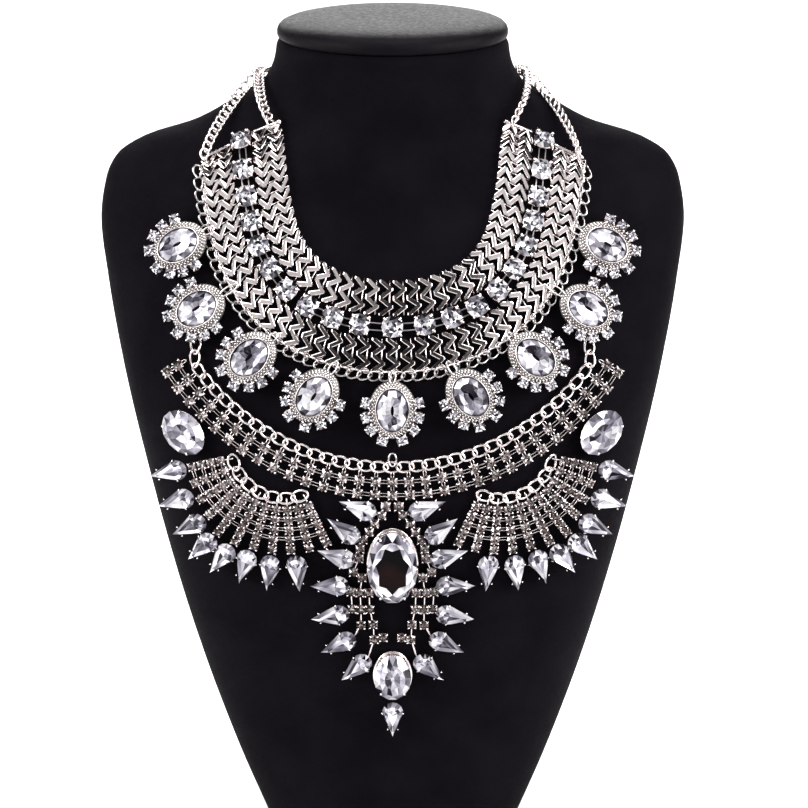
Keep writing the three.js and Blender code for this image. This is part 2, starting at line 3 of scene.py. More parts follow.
import bpy
import mathutils
import numpy as np
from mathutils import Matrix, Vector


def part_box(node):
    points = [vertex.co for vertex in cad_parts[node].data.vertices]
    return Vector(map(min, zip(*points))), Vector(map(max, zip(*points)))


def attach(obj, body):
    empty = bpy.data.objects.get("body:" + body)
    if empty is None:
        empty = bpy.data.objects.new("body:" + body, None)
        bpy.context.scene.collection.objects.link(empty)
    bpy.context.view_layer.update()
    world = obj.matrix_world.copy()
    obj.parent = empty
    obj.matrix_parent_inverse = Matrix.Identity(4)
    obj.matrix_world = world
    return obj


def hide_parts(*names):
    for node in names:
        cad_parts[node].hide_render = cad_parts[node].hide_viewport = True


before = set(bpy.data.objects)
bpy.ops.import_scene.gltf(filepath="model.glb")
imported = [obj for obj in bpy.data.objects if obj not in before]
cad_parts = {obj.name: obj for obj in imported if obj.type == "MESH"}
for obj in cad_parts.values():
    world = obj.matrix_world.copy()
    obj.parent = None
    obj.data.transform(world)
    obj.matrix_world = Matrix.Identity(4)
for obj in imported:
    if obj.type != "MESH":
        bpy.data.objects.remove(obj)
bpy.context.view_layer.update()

# -------------------------------------------- neck bust
# Padded display bust: a moulded core with foam, covered in black grained leatherette that is
# drawn tight and stapled under the foot. The necklace lies on its chest, so the same form
# also seats everything that follows. Lengths are millimetres, +Z up, the chest faces -Y.
MM = 0.001
# height, half width, front, back, squareness of the section
BUST = np.array([
    [0, 48, -46, 36, 2.5],
    [40, 64, -54, 40, 2.5],
    [80, 77.5, -60, 43, 2.6],
    [120, 88.8, -65, 46, 2.7],
    [160, 98.5, -67, 48, 2.8],
    [200, 107.3, -63, 49, 2.9],
    [235, 113.5, -53, 50, 2.9],
    [257, 116.2, -44, 50, 2.7],
    [271, 114.3, -40, 50, 2.3],
    [280, 110, -39, 50, 1.9],
    [287.5, 99, -38.5, 50, 1.6],
    [294, 79, -38.5, 50, 1.5],
    [302, 64.2, -38.5, 50, 1.6],
    [311, 50.6, -38.5, 50, 1.85],
    [320, 46.6, -38.5, 50, 2],
    [327, 45.7, -38.5, 50, 2],
])
BUST_SIDES, BUST_LEVELS = 192, 170
LEATHER_TONES = [(0.0028, 0.0022, 0.0034), (0.0046, 0.0038, 0.0054)]
BUST_SPECULAR, BUST_ROUGH = 0.021, (0.72, 0.84)
# cells of the grain in a metre; how far the cover is drawn in at the seam and under the foot
GRAIN, SEAM_TUCK = 1100, 1.2

scene = bpy.context.scene
cap_low, cap_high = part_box("neck_cap")
NECK_MIDDLE = (BUST[-1, 2] + BUST[-1, 3]) / 2
SHIFT = (cap_low.y + cap_high.y) / 2 / MM - NECK_MIDDLE


def smooth_column(column):
    """Curve through one column of the table that never swings past its rows."""
    heights, values = BUST[:, 0], BUST[:, column]
    widths = np.diff(heights)
    slopes = np.diff(values) / widths
    tangents = np.concatenate([slopes[:1], np.zeros(len(slopes) - 1), slopes[-1:]])
    for i in range(1, len(slopes)):
        if slopes[i - 1] * slopes[i] > 0:
            before = 2 * widths[i] + widths[i - 1]
            after = widths[i] + 2 * widths[i - 1]
            tangents[i] = (before + after) / (before / slopes[i - 1] + after / slopes[i])

    def at(z):
        z = np.asarray(z, float)
        i = np.clip(np.searchsorted(heights, z) - 1, 0, len(widths) - 1)
        t = (z - heights[i]) / widths[i]
        u = 1 - t
        return (values[i] * u * u * (1 + 2 * t) + values[i + 1] * t * t * (3 - 2 * t)
                + widths[i] * t * u * (tangents[i] * u - tangents[i + 1] * t))
    return at


half_width_at, front_at, back_at, power_at = (smooth_column(c) for c in range(1, 5))


def section(level, height, grow, sides):
    """Level outline of the bust, as rounded as the table says and grown sideways."""
    angle = np.linspace(0, 2 * np.pi, sides, endpoint=False)
    bend = 2 / power_at(level)
    across = np.sign(np.cos(angle)) * np.abs(np.cos(angle)) ** bend
    deep = np.sign(np.sin(angle)) * np.abs(np.sin(angle)) ** bend
    middle = (front_at(level) + back_at(level)) / 2
    depth = (back_at(level) - front_at(level)) / 2
    return np.stack([(half_width_at(level) + grow) * across,
                     middle + (depth + grow) * deep,
                     np.full(sides, float(height))], 1)


def outward(corners, faces):
    """Shape with its faces turned so that they look out of the solid."""
    volume = 0
    for face in faces:
        for k in range(1, face.shape[1] - 1):
            a, b, c = (corners[face[:, n]] for n in (0, k, k + 1))
            volume += np.einsum("ij,ij->", a, np.cross(b, c))
    return corners, [face[:, ::-1] if volume < 0 else face for face in faces]


def loft(rings, capped=True, wrapped=False):
    """Skin over rings of points, closed by two flat ends or by wrapping round to the start."""
    rings = np.asarray(rings, float)
    count, sides = rings.shape[:2]
    row = np.arange(count if wrapped else count - 1)[:, None]
    here, there = row * sides, (row + 1) % count * sides
    j = np.arange(sides)[None]
    k = (j + 1) % sides
    faces = [np.stack([here + j, here + k, there + k, there + j], -1).reshape(-1, 4)]
    if capped and not wrapped:
        faces += [np.arange(sides)[None, ::-1], (count - 1) * sides + np.arange(sides)[None]]
    return outward(rings.reshape(-1, 3), faces)


def repeat(shape, places):
    """Copies of a shape, one for each 4 by 4 place."""
    corners, faces = shape
    places = np.asarray(places).reshape(-1, 4, 4)
    many = np.einsum("nij,vj->nvi", places[:, :3, :3], corners) + places[:, None, :3, 3]
    steps = len(corners) * np.arange(len(places))[:, None, None]
    return many.reshape(-1, 3), [(face[None] + steps).reshape(-1, face.shape[1]) for face in faces]


def joined(*shapes):
    """Several shapes as one."""
    corners, faces, start = [], [], 0
    for points, sides in shapes:
        corners.append(points)
        faces += [side + start for side in sides]
        start += len(points)
    return np.concatenate(corners), faces


def piece(name, layers, stands_for):
    """Blender object from (shape, material, smooth) layers, riding on the bust's body."""
    corners, faces = joined(*[shape for shape, _, _ in layers])
    mesh = bpy.data.meshes.new(name)
    loops = np.concatenate([face.ravel() for face in faces])
    sizes = np.concatenate([np.full(len(face), face.shape[1]) for face in faces])
    mesh.vertices.add(len(corners))
    mesh.vertices.foreach_set("co", ((corners + [0, SHIFT, 0]) * MM).astype(np.float32).ravel())
    mesh.loops.add(len(loops))
    mesh.loops.foreach_set("vertex_index", loops.astype(np.int32))
    mesh.polygons.add(len(sizes))
    mesh.polygons.foreach_set("loop_start", np.concatenate([[0], np.cumsum(sizes)[:-1]]).astype(np.int32))
    numbers, smooths, materials = [], [], []
    for (_, sides), material, smooth in layers:
        if material not in materials:
            materials.append(material)
        count = sum(len(side) for side in sides)
        numbers.append(np.full(count, materials.index(material)))
        smooths.append(np.full(count, smooth))
    mesh.polygons.foreach_set("material_index", np.concatenate(numbers).astype(np.int32))
    mesh.polygons.foreach_set("use_smooth", np.concatenate(smooths))
    for material in materials:
        mesh.materials.append(material)
    mesh.update(calc_edges=True)
    mesh.validate()
    thing = bpy.data.objects.new(name, mesh)
    scene.collection.objects.link(thing)
    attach(thing, "root")
    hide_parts(*stands_for)


def new_material(name):
    """Node material with its node tree and its main shader."""
    material = bpy.data.materials.new(name)
    material.use_nodes = True
    tree = material.node_tree
    return material, tree, tree.nodes["Principled BSDF"]


def noise(tree, scale, detail=3.0):
    """Fractal noise over the object, scale in cells a metre."""
    coordinates = tree.nodes.new("ShaderNodeTexCoord")
    texture = tree.nodes.new("ShaderNodeTexNoise")
    texture.inputs["Scale"].default_value = scale
    texture.inputs["Detail"].default_value = detail
    texture.inputs["Roughness"].default_value = 0.55
    tree.links.new(coordinates.outputs["Object"], texture.inputs["Vector"])
    return texture.outputs["Fac"]


def ramp(tree, source, stops):
    """Colour ramp over (place, colour) stops."""
    node = tree.nodes.new("ShaderNodeValToRGB")
    elements = node.color_ramp.elements
    elements[0].position = stops[0][0]
    elements[1].position = stops[-1][0]
    for where, _ in stops[1:-1]:
        elements.new(where)
    for element, (_, color) in zip(elements, stops):
        element.color = (*color, 1)
    tree.links.new(source, node.inputs["Fac"])
    return node.outputs["Color"]


def grey(value):
    return (value, value, value)


def bump(tree, source, shader, strength, depth_mm, under=None):
    """Bump from a height; under is the bump that it adds to."""
    node = tree.nodes.new("ShaderNodeBump")
    node.inputs["Strength"].default_value = strength
    node.inputs["Distance"].default_value = depth_mm * MM
    tree.links.new(source, node.inputs["Height"])
    if under:
        tree.links.new(under, node.inputs["Normal"])
    tree.links.new(node.outputs["Normal"], shader.inputs["Normal"])
    return node.outputs["Normal"]


def leatherette(name, specular, rough):
    """Black embossed grain, its shine a little uneven."""
    material, tree, shader = new_material(name)
    coordinates = tree.nodes.new("ShaderNodeTexCoord")
    grain = tree.nodes.new("ShaderNodeTexVoronoi")
    grain.feature = "DISTANCE_TO_EDGE"
    grain.inputs["Scale"].default_value = GRAIN
    grain.inputs["Randomness"].default_value = 1
    tree.links.new(coordinates.outputs["Object"], grain.inputs["Vector"])
    creases = ramp(tree, grain.outputs["Distance"], [(0.0, grey(0)), (0.16, grey(1))])
    tree.links.new(ramp(tree, noise(tree, 45), [(0.35, LEATHER_TONES[0]), (0.7, LEATHER_TONES[1])]),
                   shader.inputs["Base Color"])
    tree.links.new(ramp(tree, noise(tree, 600, 2), [(0.3, grey(rough[0])), (0.7, grey(rough[1]))]),
                   shader.inputs["Roughness"])
    shader.inputs["Specular IOR Level"].default_value = specular
    first = bump(tree, creases, shader, 0.35, 0.12)
    bump(tree, noise(tree, 90, 2), shader, 0.25, 0.9, first)
    return material


leather = leatherette("black leatherette", BUST_SPECULAR, BUST_ROUGH)
top = BUST[-1, 0]
levels = np.concatenate([[0, 0.6, 1.6, 3], np.linspace(4.5, top - 4, BUST_LEVELS),
                         top - np.array([2.4, 1.2, 0.5, 0.1, 0])])
tuck = np.clip(1 - levels / 3, 0, 1) ** 2 + np.clip(1 - (top - levels) / 2.6, 0, 1) ** 2
bust_skin = loft([section(z, z, -SEAM_TUCK * share, BUST_SIDES) for z, share in zip(levels, tuck)])
piece("bust_cover", [(bust_skin, leather, True)], ["neck_bust"])

# -------------------------------------------- padded lid of the neck
# A round foam pad in the same leatherette, glued into the top of the neck. Its edge is
# rolled under at the seam, so it bulges there and domes gently towards the middle.
LID_SIDES, LID_SPECULAR, LID_ROUGH = 128, 0.055, (0.46, 0.6)
# share of the neck's size and height above the seam
LID = [(0.94, 0.3), (0.972, 0.35), (0.99, 0.9), (1.0, 2.0), (1.0, 3.4), (0.99, 4.8), (0.965, 6.0),
       (0.92, 6.9), (0.85, 7.6), (0.74, 8.1), (0.6, 8.4), (0.45, 8.5), (0.3, 8.55), (0.15, 8.58), (0.03, 8.6)]


def lid_ring(share, rise):
    """Level outline of the lid."""
    ring = section(top, top + rise, 0, LID_SIDES)
    middle = np.array([0, NECK_MIDDLE, top + rise])
    return middle + (ring - middle) * [share, share, 1]


lid_leather = leatherette("black leatherette of the lid", LID_SPECULAR, LID_ROUGH)
piece("lid_pad", [(loft([lid_ring(*row) for row in LID]), lid_leather, True)], ["neck_cap"])

# -------------------------------------------- link bands of the collar
# Two flat bands of stamped links in rhodium-coloured plated alloy. Each link is a zigzag plate
# of two chevrons with bevelled edges, hinged to the next by a pin behind it. The bands follow
# the rounding chest, but what hangs lower is stiffer and runs on nearly straight to the sides.
# where that straight part starts beside the middle, its slope, and the heights that it ends between
FLAT_FROM, FLAT_SLOPE, FLAT_BELOW, ROUND_ABOVE = 50, 0.22, 200, 215
# how far the backs of the metal parts stay off the leatherette
METAL_BACK = 0.95
# middle line of the collar's crystals, from the centre front to the right shoulder: x, z
COLLAR = np.array([[0, 224.5], [20, 227], [38, 235.5], [50, 250], [55.5, 268], [58.5, 291.5], [59.6, 300]])
# the bands' slanting ends: share of that line, and how much sooner for each millimetre outwards
BAND_END, BAND_END_SLOPE = 0.914, 0.0034
# edges of the bands beside that line, away from the neck
BANDS = {"inner": (-16.9, -4.2), "outer": (4.2, 16.5)}
# step from link to link, reach of a chevron's point, and width of its bars
LINK_PITCH, LINK_DEPTH, LINK_BAR = {"inner": 4.7, "outer": 4.95}, 4.3, 1.6
LINK_LIFT = METAL_BACK + 0.85
# how far the points are cut off blunt, behind and ahead; how much wider apart the front's links are
LINK_BLUNT, LINK_SPREAD = (1.1, 0.6), 0.15
# width and depth of the bevel, and how far the plates are tilted and lie loose, as slopes
PLATE_THICK, PLATE_BEVEL, PLATE_TILT, PLATE_LOOSE = 0.6, (0.36, 0.14), 0.012, 0.03
# place ahead of the link's middle, height, radius and shortness of the pin; then the eyelets
PIN_X, PIN_Z, PIN_RADIUS, PIN_SHORT = 1.6, -0.3, 0.3, 0.2
EYELET, EYELET_PLACE = {"length": 2.2, "width": 1.6, "radius": 0.26, "steps": 12}, (1.4, 0.2)
END_ROD, END_ROD_LIFT, END_ROD_SHORT = 0.55, METAL_BACK + 1.2, 0.3
METAL_TONES = [(0.66, 0.60, 0.595), (0.85, 0.775, 0.77)]


def chest(x, z):
    """Front of the bust."""
    middle = (front_at(z) + back_at(z)) / 2
    depth = (back_at(z) - front_at(z)) / 2
    power = power_at(z)
    side = np.minimum(np.abs(x) / half_width_at(z), 1)
    return middle - depth * (1 - side ** power) ** (1 / power)


def drape(x, z):
    """What the necklace lies on: the bust's front, flatter beyond the middle of the chest."""
    x, z = np.broadcast_arrays(np.asarray(x, float), np.asarray(z, float))
    round_one = chest(x, z)
    beyond = np.maximum(np.abs(x) - FLAT_FROM, 0)
    flat = np.minimum(round_one, chest(np.full_like(x, FLAT_FROM), z) + FLAT_SLOPE * beyond)
    blend = np.clip((z - FLAT_BELOW) / (ROUND_ABOVE - FLAT_BELOW), 0, 1)
    return np.where(beyond > 0, flat + blend * (round_one - flat), round_one)


def facing(x, z, reach=0.5):
    """Directions straight out of the draped surface."""
    slope_x = (drape(x + reach, z) - drape(x - reach, z)) / (2 * reach)
    slope_z = (drape(x, z + reach) - drape(x, z - reach)) / (2 * reach)
    out = np.stack([slope_x, -np.ones_like(slope_x), slope_z], -1)
    return out / np.linalg.norm(out, axis=-1, keepdims=True)


def on_bust(xz, lift):
    """Points above the draped surface, from x and z in the front view."""
    xz = np.asarray(xz, float).reshape(-1, 2)
    x, z = xz[:, 0], xz[:, 1]
    return np.stack([x, drape(x, z), z], 1) + facing(x, z) * np.reshape(lift, (-1, 1))


def place(origins, along, out):
    """Places whose own X runs along and whose own Z looks out."""
    origins, along, out = (np.asarray(v, float).reshape(-1, 3) for v in (origins, along, out))
    out = out / np.linalg.norm(out, axis=1, keepdims=True)
    along = along - out * np.sum(along * out, 1, keepdims=True)
    along /= np.linalg.norm(along, axis=1, keepdims=True)
    places = np.tile(np.eye(4), (len(origins), 1, 1))
    places[:, :3, 0] = along
    places[:, :3, 1] = np.cross(out, along)
    places[:, :3, 2] = out
    places[:, :3, 3] = origins
    return places


def seat(xz, degrees, lift):
    """Places on the chest whose own X points along an angle in the front view."""
    xz = np.asarray(xz, float).reshape(-1, 2)
    angle = np.broadcast_to(np.radians(degrees), len(xz))
    out = facing(xz[:, 0], xz[:, 1])
    along = np.stack([np.cos(angle), np.zeros(len(xz)), np.sin(angle)], 1)
    along[:, 1] = -(out[:, 0] * along[:, 0] + out[:, 2] * along[:, 2]) / out[:, 1]
    return place(on_bust(xz, lift), along, out)


def shifted(shape, x=0, y=0, z=0):
    return shape[0] + [x, y, z], shape[1]


def turned(shape, degrees):
    """Shape turned about its own Z."""
    c, s = math.cos(math.radians(degrees)), math.sin(math.radians(degrees))
    return shape[0] @ np.array([[c, s, 0], [-s, c, 0], [0, 0, 1]]), shape[1]


def length_along(line):
    """Distance of each point of a line from its start."""
    return np.concatenate([[0], np.cumsum(np.linalg.norm(np.diff(line, axis=0), axis=1))])


def points_at(line, reach):
    """Points at given distances along a line."""
    length = length_along(line)
    return np.stack([np.interp(reach, length, column) for column in line.T], 1)


def even_steps(line, pitch):
    """Evenly spaced points and directions along a line, about a pitch apart."""
    length = length_along(line)[-1]
    count = max(int(round(length / pitch)), 1)
    reach = (np.arange(count) + 0.5) * length / count
    return points_at(line, reach), points_at(line, reach + 0.5) - points_at(line, reach - 0.5)


def soft_curve(rows, count=1600):
    """Smooth line through table rows (centripetal Catmull-Rom), as evenly spaced points."""
    rows = np.asarray(rows, float)
    rows = np.concatenate([2 * rows[:1] - rows[1:2], rows, 2 * rows[-1:] - rows[-2:-1]])
    pieces = []
    for a, b, c, d in zip(rows, rows[1:], rows[2:], rows[3:]):
        k0, k1, k2 = (max(np.linalg.norm(q - p), 1e-6) ** 0.5 for p, q in ((a, b), (b, c), (c, d)))
        start = ((b - a) / k0 - (c - a) / (k0 + k1) + (c - b) / k1) * k1
        end = ((c - b) / k1 - (d - b) / (k1 + k2) + (d - c) / k2) * k1
        t = np.linspace(0, 1, 200, endpoint=False)[:, None]
        pieces.append(b + start * t + (3 * (c - b) - 2 * start - end) * t ** 2
                      + (2 * (b - c) + start + end) * t ** 3)
    line = np.concatenate(pieces + [rows[-2:-1]])
    return points_at(line, np.linspace(0, length_along(line)[-1], count))


def plated_metal(name, rough, tones, scratch):
    """Bright plating over a cast or stamped body, faintly uneven and finely scratched."""
    material, tree, shader = new_material(name)
    shader.inputs["Metallic"].default_value = 1
    tree.links.new(ramp(tree, noise(tree, 260), [(0.3, tones[0]), (0.62, tones[1])]),
                   shader.inputs["Base Color"])
    tree.links.new(ramp(tree, noise(tree, 400, 2), [(0.3, grey(rough)), (0.75, grey(rough + 0.08))]),
                   shader.inputs["Roughness"])
    bump(tree, noise(tree, 700, 2), shader, scratch, 0.15)
    return material


metal = plated_metal("plated alloy", 0.16, METAL_TONES, 0.08)
brushed = plated_metal("stamped plating", 0.1, METAL_TONES, 0.01)

collar_line = soft_curve(np.concatenate([COLLAR[:0:-1] * [-1, 1], COLLAR]))
collar_ahead = np.gradient(collar_line, axis=0)
collar_ahead /= np.linalg.norm(collar_ahead, axis=1, keepdims=True)


def beside_collar(share, offset):
    """Points beside the collar's middle line: share 0 is left and 1 right, offset away from the neck."""
    share, offset = np.broadcast_arrays(np.asarray(share, float), np.asarray(offset, float))
    steps, numbers = share * (len(collar_line) - 1), np.arange(len(collar_line))
    x, z, dx, dz = (np.interp(steps, numbers, column) for column in (*collar_line.T, *collar_ahead.T))
    return np.stack([x + offset * dz, z - offset * dx], -1)


def in_collar(along, offset):
    """The same, with -1 and 1 at the slanting ends of the bands."""
    return beside_collar((1 + along * (BAND_END - BAND_END_SLOPE * np.asarray(offset))) / 2, offset)


def zigzag_plate(width):
    """Plate of two chevrons whose blunt points look along its own X, with bevelled edges."""
    quarter = width / 4
    thick = LINK_BAR / 2 / math.sin(math.atan2(quarter, LINK_DEPTH))
    behind, ahead = (cut * quarter / LINK_DEPTH for cut in LINK_BLUNT)
    half_side = [0, behind, quarter - ahead, quarter, quarter + ahead, 2 * quarter - behind, 2 * quarter]
    inset, drop = PLATE_BEVEL
    rings = []
    for y in [-v for v in half_side[:0:-1]] + half_side:
        middle = LINK_DEPTH * (1 - abs(abs(y) / quarter - 1)) - LINK_DEPTH / 2
        left = max(middle - thick, -LINK_DEPTH / 2 - thick + LINK_BLUNT[0])
        right = min(middle + thick, LINK_DEPTH / 2 + thick - LINK_BLUNT[1])
        rings.append([(left, y, 0), (left, y, PLATE_THICK - drop), (left + inset, y, PLATE_THICK),
                      (right - inset, y, PLATE_THICK), (right, y, PLATE_THICK - drop), (right, y, 0)])
    return loft(rings)


def wire(path, radius, sides=8, closed=False, up=(0, 0, 1)):
    """Round wire along a path; up is a direction that the path never runs along."""
    path = np.asarray(path, float)
    ahead = np.roll(path, -1, 0) - np.roll(path, 1, 0) if closed else np.gradient(path, axis=0)
    ahead /= np.linalg.norm(ahead, axis=1, keepdims=True)
    side = np.cross(ahead, np.asarray(up, float))
    side /= np.linalg.norm(side, axis=1, keepdims=True)
    over = np.cross(side, ahead)
    angle = 2 * np.pi * (np.arange(sides) + 0.5) / sides
    rings = path[:, None] + np.reshape(radius, (-1, 1, 1)) * (
        np.cos(angle)[None, :, None] * side[:, None] + np.sin(angle)[None, :, None] * over[:, None])
    return loft(rings, wrapped=closed)


def chest_wire(xz, lift, radius, sides=6):
    """Wire along a line in the front view, at a height above the draped surface."""
    return wire(on_bust(xz, lift), radius, sides, up=(0, -1, 0.01))


def ball(radius, rows=5, sides=8):
    """Small bead or claw end, nearly closed at its poles by flat caps."""
    rise = np.radians(np.linspace(-82, 82, rows))
    angle = 2 * np.pi * np.arange(sides) / sides
    return loft([[(radius * math.cos(r) * math.cos(a), radius * math.cos(r) * math.sin(a),
                   radius * math.sin(r)) for a in angle] for r in rise])


def loop(length, width, radius, lean=0.0, steps=20, sides=6):
    """Oval wire link; lean lifts opposite quarters, as in a twisted curb link."""
    angle = 2 * np.pi * np.arange(steps) / steps
    path = np.stack([length / 2 * np.cos(angle), width / 2 * np.sin(angle), lean * np.sin(2 * angle)], 1)
    return wire(path, radius, sides, closed=True)


shake = np.random.default_rng(7)


def on_band(shape, edges, lift, pitch):
    """Copies of a link laid along a band and bent to it, each lying a little its own way."""
    middle = sum(edges) / 2
    steps = np.linspace(-1, 1, 1200)
    length = length_along(on_bust(in_collar(steps, middle), lift))
    count = int(round(length[-1] / pitch))
    way = (2 * np.arange(count) + 1) / count - 1
    way += LINK_SPREAD * np.sin(np.pi * way) / np.pi
    corners, faces = shape
    x, y, z = corners.T[:, None]
    spots = length[-1] * (1 + way[:, None]) / 2 + x
    loose = shake.uniform(-PLATE_LOOSE, PLATE_LOOSE, (2, count, 1))
    heights = lift + z + (PLATE_TILT + loose[0]) * x + loose[1] * y
    xz = in_collar(np.interp(spots, length, steps), np.broadcast_to(middle - y, spots.shape))
    numbers = len(corners) * np.arange(count)[:, None, None]
    return (on_bust(xz.reshape(-1, 2), heights.reshape(-1)),
            [(face[None] + numbers).reshape(-1, face.shape[1]) for face in faces])


for name, edges in BANDS.items():
    width = edges[1] - edges[0]
    plates = on_band(zigzag_plate(width), edges, LINK_LIFT, LINK_PITCH[name])
    hinge = wire([(PIN_X, share * (width / 2 - PIN_SHORT), PIN_Z) for share in (-1, 0, 1)], PIN_RADIUS, 6)
    if name == "outer":
        hinge = joined(hinge, shifted(loop(**EYELET), EYELET_PLACE[0], -width / 2, EYELET_PLACE[1]))
    hinges = on_band(hinge, edges, LINK_LIFT, LINK_PITCH[name])
    across = np.linspace(edges[0] + END_ROD_SHORT, edges[1] - END_ROD_SHORT, 8)
    rods = [chest_wire(in_collar(end, across), END_ROD_LIFT, END_ROD, 8) for end in (-1, 1)]
    piece(f"band_{name}", [(plates, brushed, False), (hinges, metal, True), (joined(*rods), metal, True)],
          [f"collar_strap_{name}"])

# -------------------------------------------- crystals between the bands
# Twenty-one round foil-backed crystals, each in a square cup whose four corners are bent over
# it as claws. The cups are soldered to two thin wires that run the whole length, dark with painted shade.
CRYSTAL_COUNT, CRYSTALS_A_STRETCH = 21, 7
# share of the collar's half at the last one, and how evenly they stand, 1 being even
CRYSTAL_END, CRYSTAL_SPREAD = 0.905, 0.9
CRYSTAL_CUP = {"half": 4.55, "top": 4.6, "sides": 9, "grip": 0.135, "wall": 0.9}
CUP_WIRE_ASIDE, CUP_WIRE_RADIUS, CUP_WIRE_LIFT = 1.3, 0.28, METAL_BACK + 0.6
# share of a cup's width, and of its height
CUP_LEVELS = [(0.8, 0), (0.97, 0.3), (1, 0.56), (0.9, 0.58), (0.7, 0.2)]
# its claws: share of its half width, then of its height at their low and high ends
CLAW_AT, CLAW_LOW, CLAW_HIGH = 0.74, 0.1, 0.98
# its stone: share of its half width, then of its height at the girdle and table
STONE_WIDE, STONE_GIRDLE, STONE_TABLE, STONE_SINK = 0.95, 0.58, 0.9, 0.2
# how much the painted reflection's tone varies with a facet's direction, and with its place
FACET_VARIETY, PLACE_VARIETY = 4.3, 70
# share of the noise and colour of the painted reflections, from the stones' dark facets to their bright ones
CLEAR_FACET_REFLECTIONS = [(0.36, (0.015, 0.013, 0.02)), (0.44, (0.18, 0.17, 0.21)),
               (0.53, (0.43, 0.41, 0.475)), (0.63, (0.92, 0.91, 0.94))]
SPARKLING_FACET_REFLECTIONS = [(0.39, (0.01, 0.009, 0.012)), (0.47, (0.13, 0.12, 0.15)),
                   (0.55, (0.4, 0.39, 0.43)), (0.63, (0.95, 0.94, 0.96))]
SMALL_FACET_REFLECTIONS = [(0.43, (0.01, 0.008, 0.008)), (0.53, (0.12, 0.092, 0.09)),
               (0.62, (0.34, 0.29, 0.29)), (0.71, (0.93, 0.89, 0.9))]
# painted dark reflection for the heart of the centre oval and of the medallions' stones
DARK_REFLECTION_TONES = [(0.45, (0.0015, 0.0015, 0.002)), (0.75, (0.014, 0.005, 0.005))]
# painted shade: dark plating for the cup wires in the shade behind the crystals
PAINTED_SHADE_TONES = [(0.16, 0.145, 0.14), (0.34, 0.31, 0.30)]


def collar_way(share):
    """Direction of the collar's middle line in the front view, in degrees."""
    numbers = np.arange(len(collar_line))
    dx, dz = (np.interp(share * (len(collar_line) - 1), numbers, column) for column in collar_ahead.T)
    return np.degrees(np.arctan2(dz, dx))


def oval(along, across, sides, turn=0.5):
    angle = 2 * np.pi * (np.arange(sides) + turn) / sides
    return np.stack([along * np.cos(angle), across * np.sin(angle)], 1)


def rounded_square(half, power, sides=16):
    """Outline between a circle, at power 2, and a square."""
    angle = 2 * np.pi * (np.arange(sides) + 0.5) / sides
    cosine, sine = np.cos(angle), np.sin(angle)
    return half * np.stack([np.sign(cosine) * np.abs(cosine) ** (2 / power),
                            np.sign(sine) * np.abs(sine) ** (2 / power)], 1)


def stacked(outline, levels, middle=(0, 0)):
    """Solid whose outline is scaled about its middle, level by level: share, height."""
    middle = np.asarray(middle, float)
    return loft([np.column_stack([middle + (outline - middle) * share, np.full(len(outline), height)])
                 for share, height in levels])


def cut_stone(outline, girdle, table, shares=(0.62, 0.4, 0.14), keel=(1, 1), sink=0.7, middle=(0, 0)):
    """Faceted stone: facets round the table, the back's facets as seen in it, and their heart.

    The shares are the reach of the table, of the ring below it and of the heart. The keel
    narrows the heart, by one pair for its length and width or by a row for each corner.
    """
    sides = len(outline)
    middle = np.asarray(middle, float)
    between = (outline + np.roll(outline, -1, 0)) / 2

    def level(points, share, height):
        return np.column_stack([middle + (points - middle) * share, np.full(sides, float(height))])
    corners = np.concatenate([level(outline, 1, girdle), level(between, shares[0], table),
                              level(outline, shares[1], table - 0.6 * sink),
                              level(between, shares[2] * np.array(keel), table - sink)])
    i = np.arange(sides)
    j, k = (i + 1) % sides, (i + 2) % sides
    top, low, foot = sides, 2 * sides, 3 * sides
    crown = [np.stack([i, j, top + i], 1), np.stack([j, top + j, top + i], 1)]
    back = [np.stack([top + i, top + j, low + j], 1), np.stack([top + j, low + k, low + j], 1),
            np.stack([low + j, low + k, foot + j], 1), np.stack([low + k, foot + k, foot + j], 1)]
    return (corners, crown), (corners, back), (corners, [foot + i[None]])


def claws(feet, low, high, thick, middle=(0, 0)):
    """Claws that rise at the feet and are bent in over the stone, with rounded ends."""
    inward = middle - feet
    inward /= np.linalg.norm(inward, axis=1, keepdims=True)
    shapes = []
    for (x, y), (u, v) in zip(feet, inward):
        tip = (x + 1.3 * thick * u, y + 1.3 * thick * v, high - thick)
        bend = (x + 0.3 * thick * u, y + 0.3 * thick * v, high - 1.6 * thick)
        path = [(x, y, low), (x, y, high - 2.6 * thick), bend, tip]
        shapes.append(wire(path, thick * 0.85, 6, up=(-v, u, 0)))
        shapes.append(shifted(ball(thick), *tip))
    return joined(*shapes)


def claw_cup(half, top, sides=6, grip=0.17, wall=0.82, power=2.6):
    """Squarish cup with four claws round a stone: metal, crown, back and heart.

    Half its width and its height come first, then the number of the stone's corners. The
    grip is the claws' radius and the wall the cup's own width, as shares of half the width.
    """
    cup = stacked(rounded_square(half * wall, power), [(share, rise * top) for share, rise in CUP_LEVELS])
    feet = np.array([(a, b) for a in (-1, 1) for b in (-1, 1)]) * half * CLAW_AT
    gripping = claws(feet, CLAW_LOW * top, CLAW_HIGH * top, half * grip)
    outline = oval(half * STONE_WIDE, half * STONE_WIDE, sides)
    stone = cut_stone(outline, STONE_GIRDLE * top, STONE_TABLE * top, sink=STONE_SINK * half)
    return joined(cup, gripping), *stone


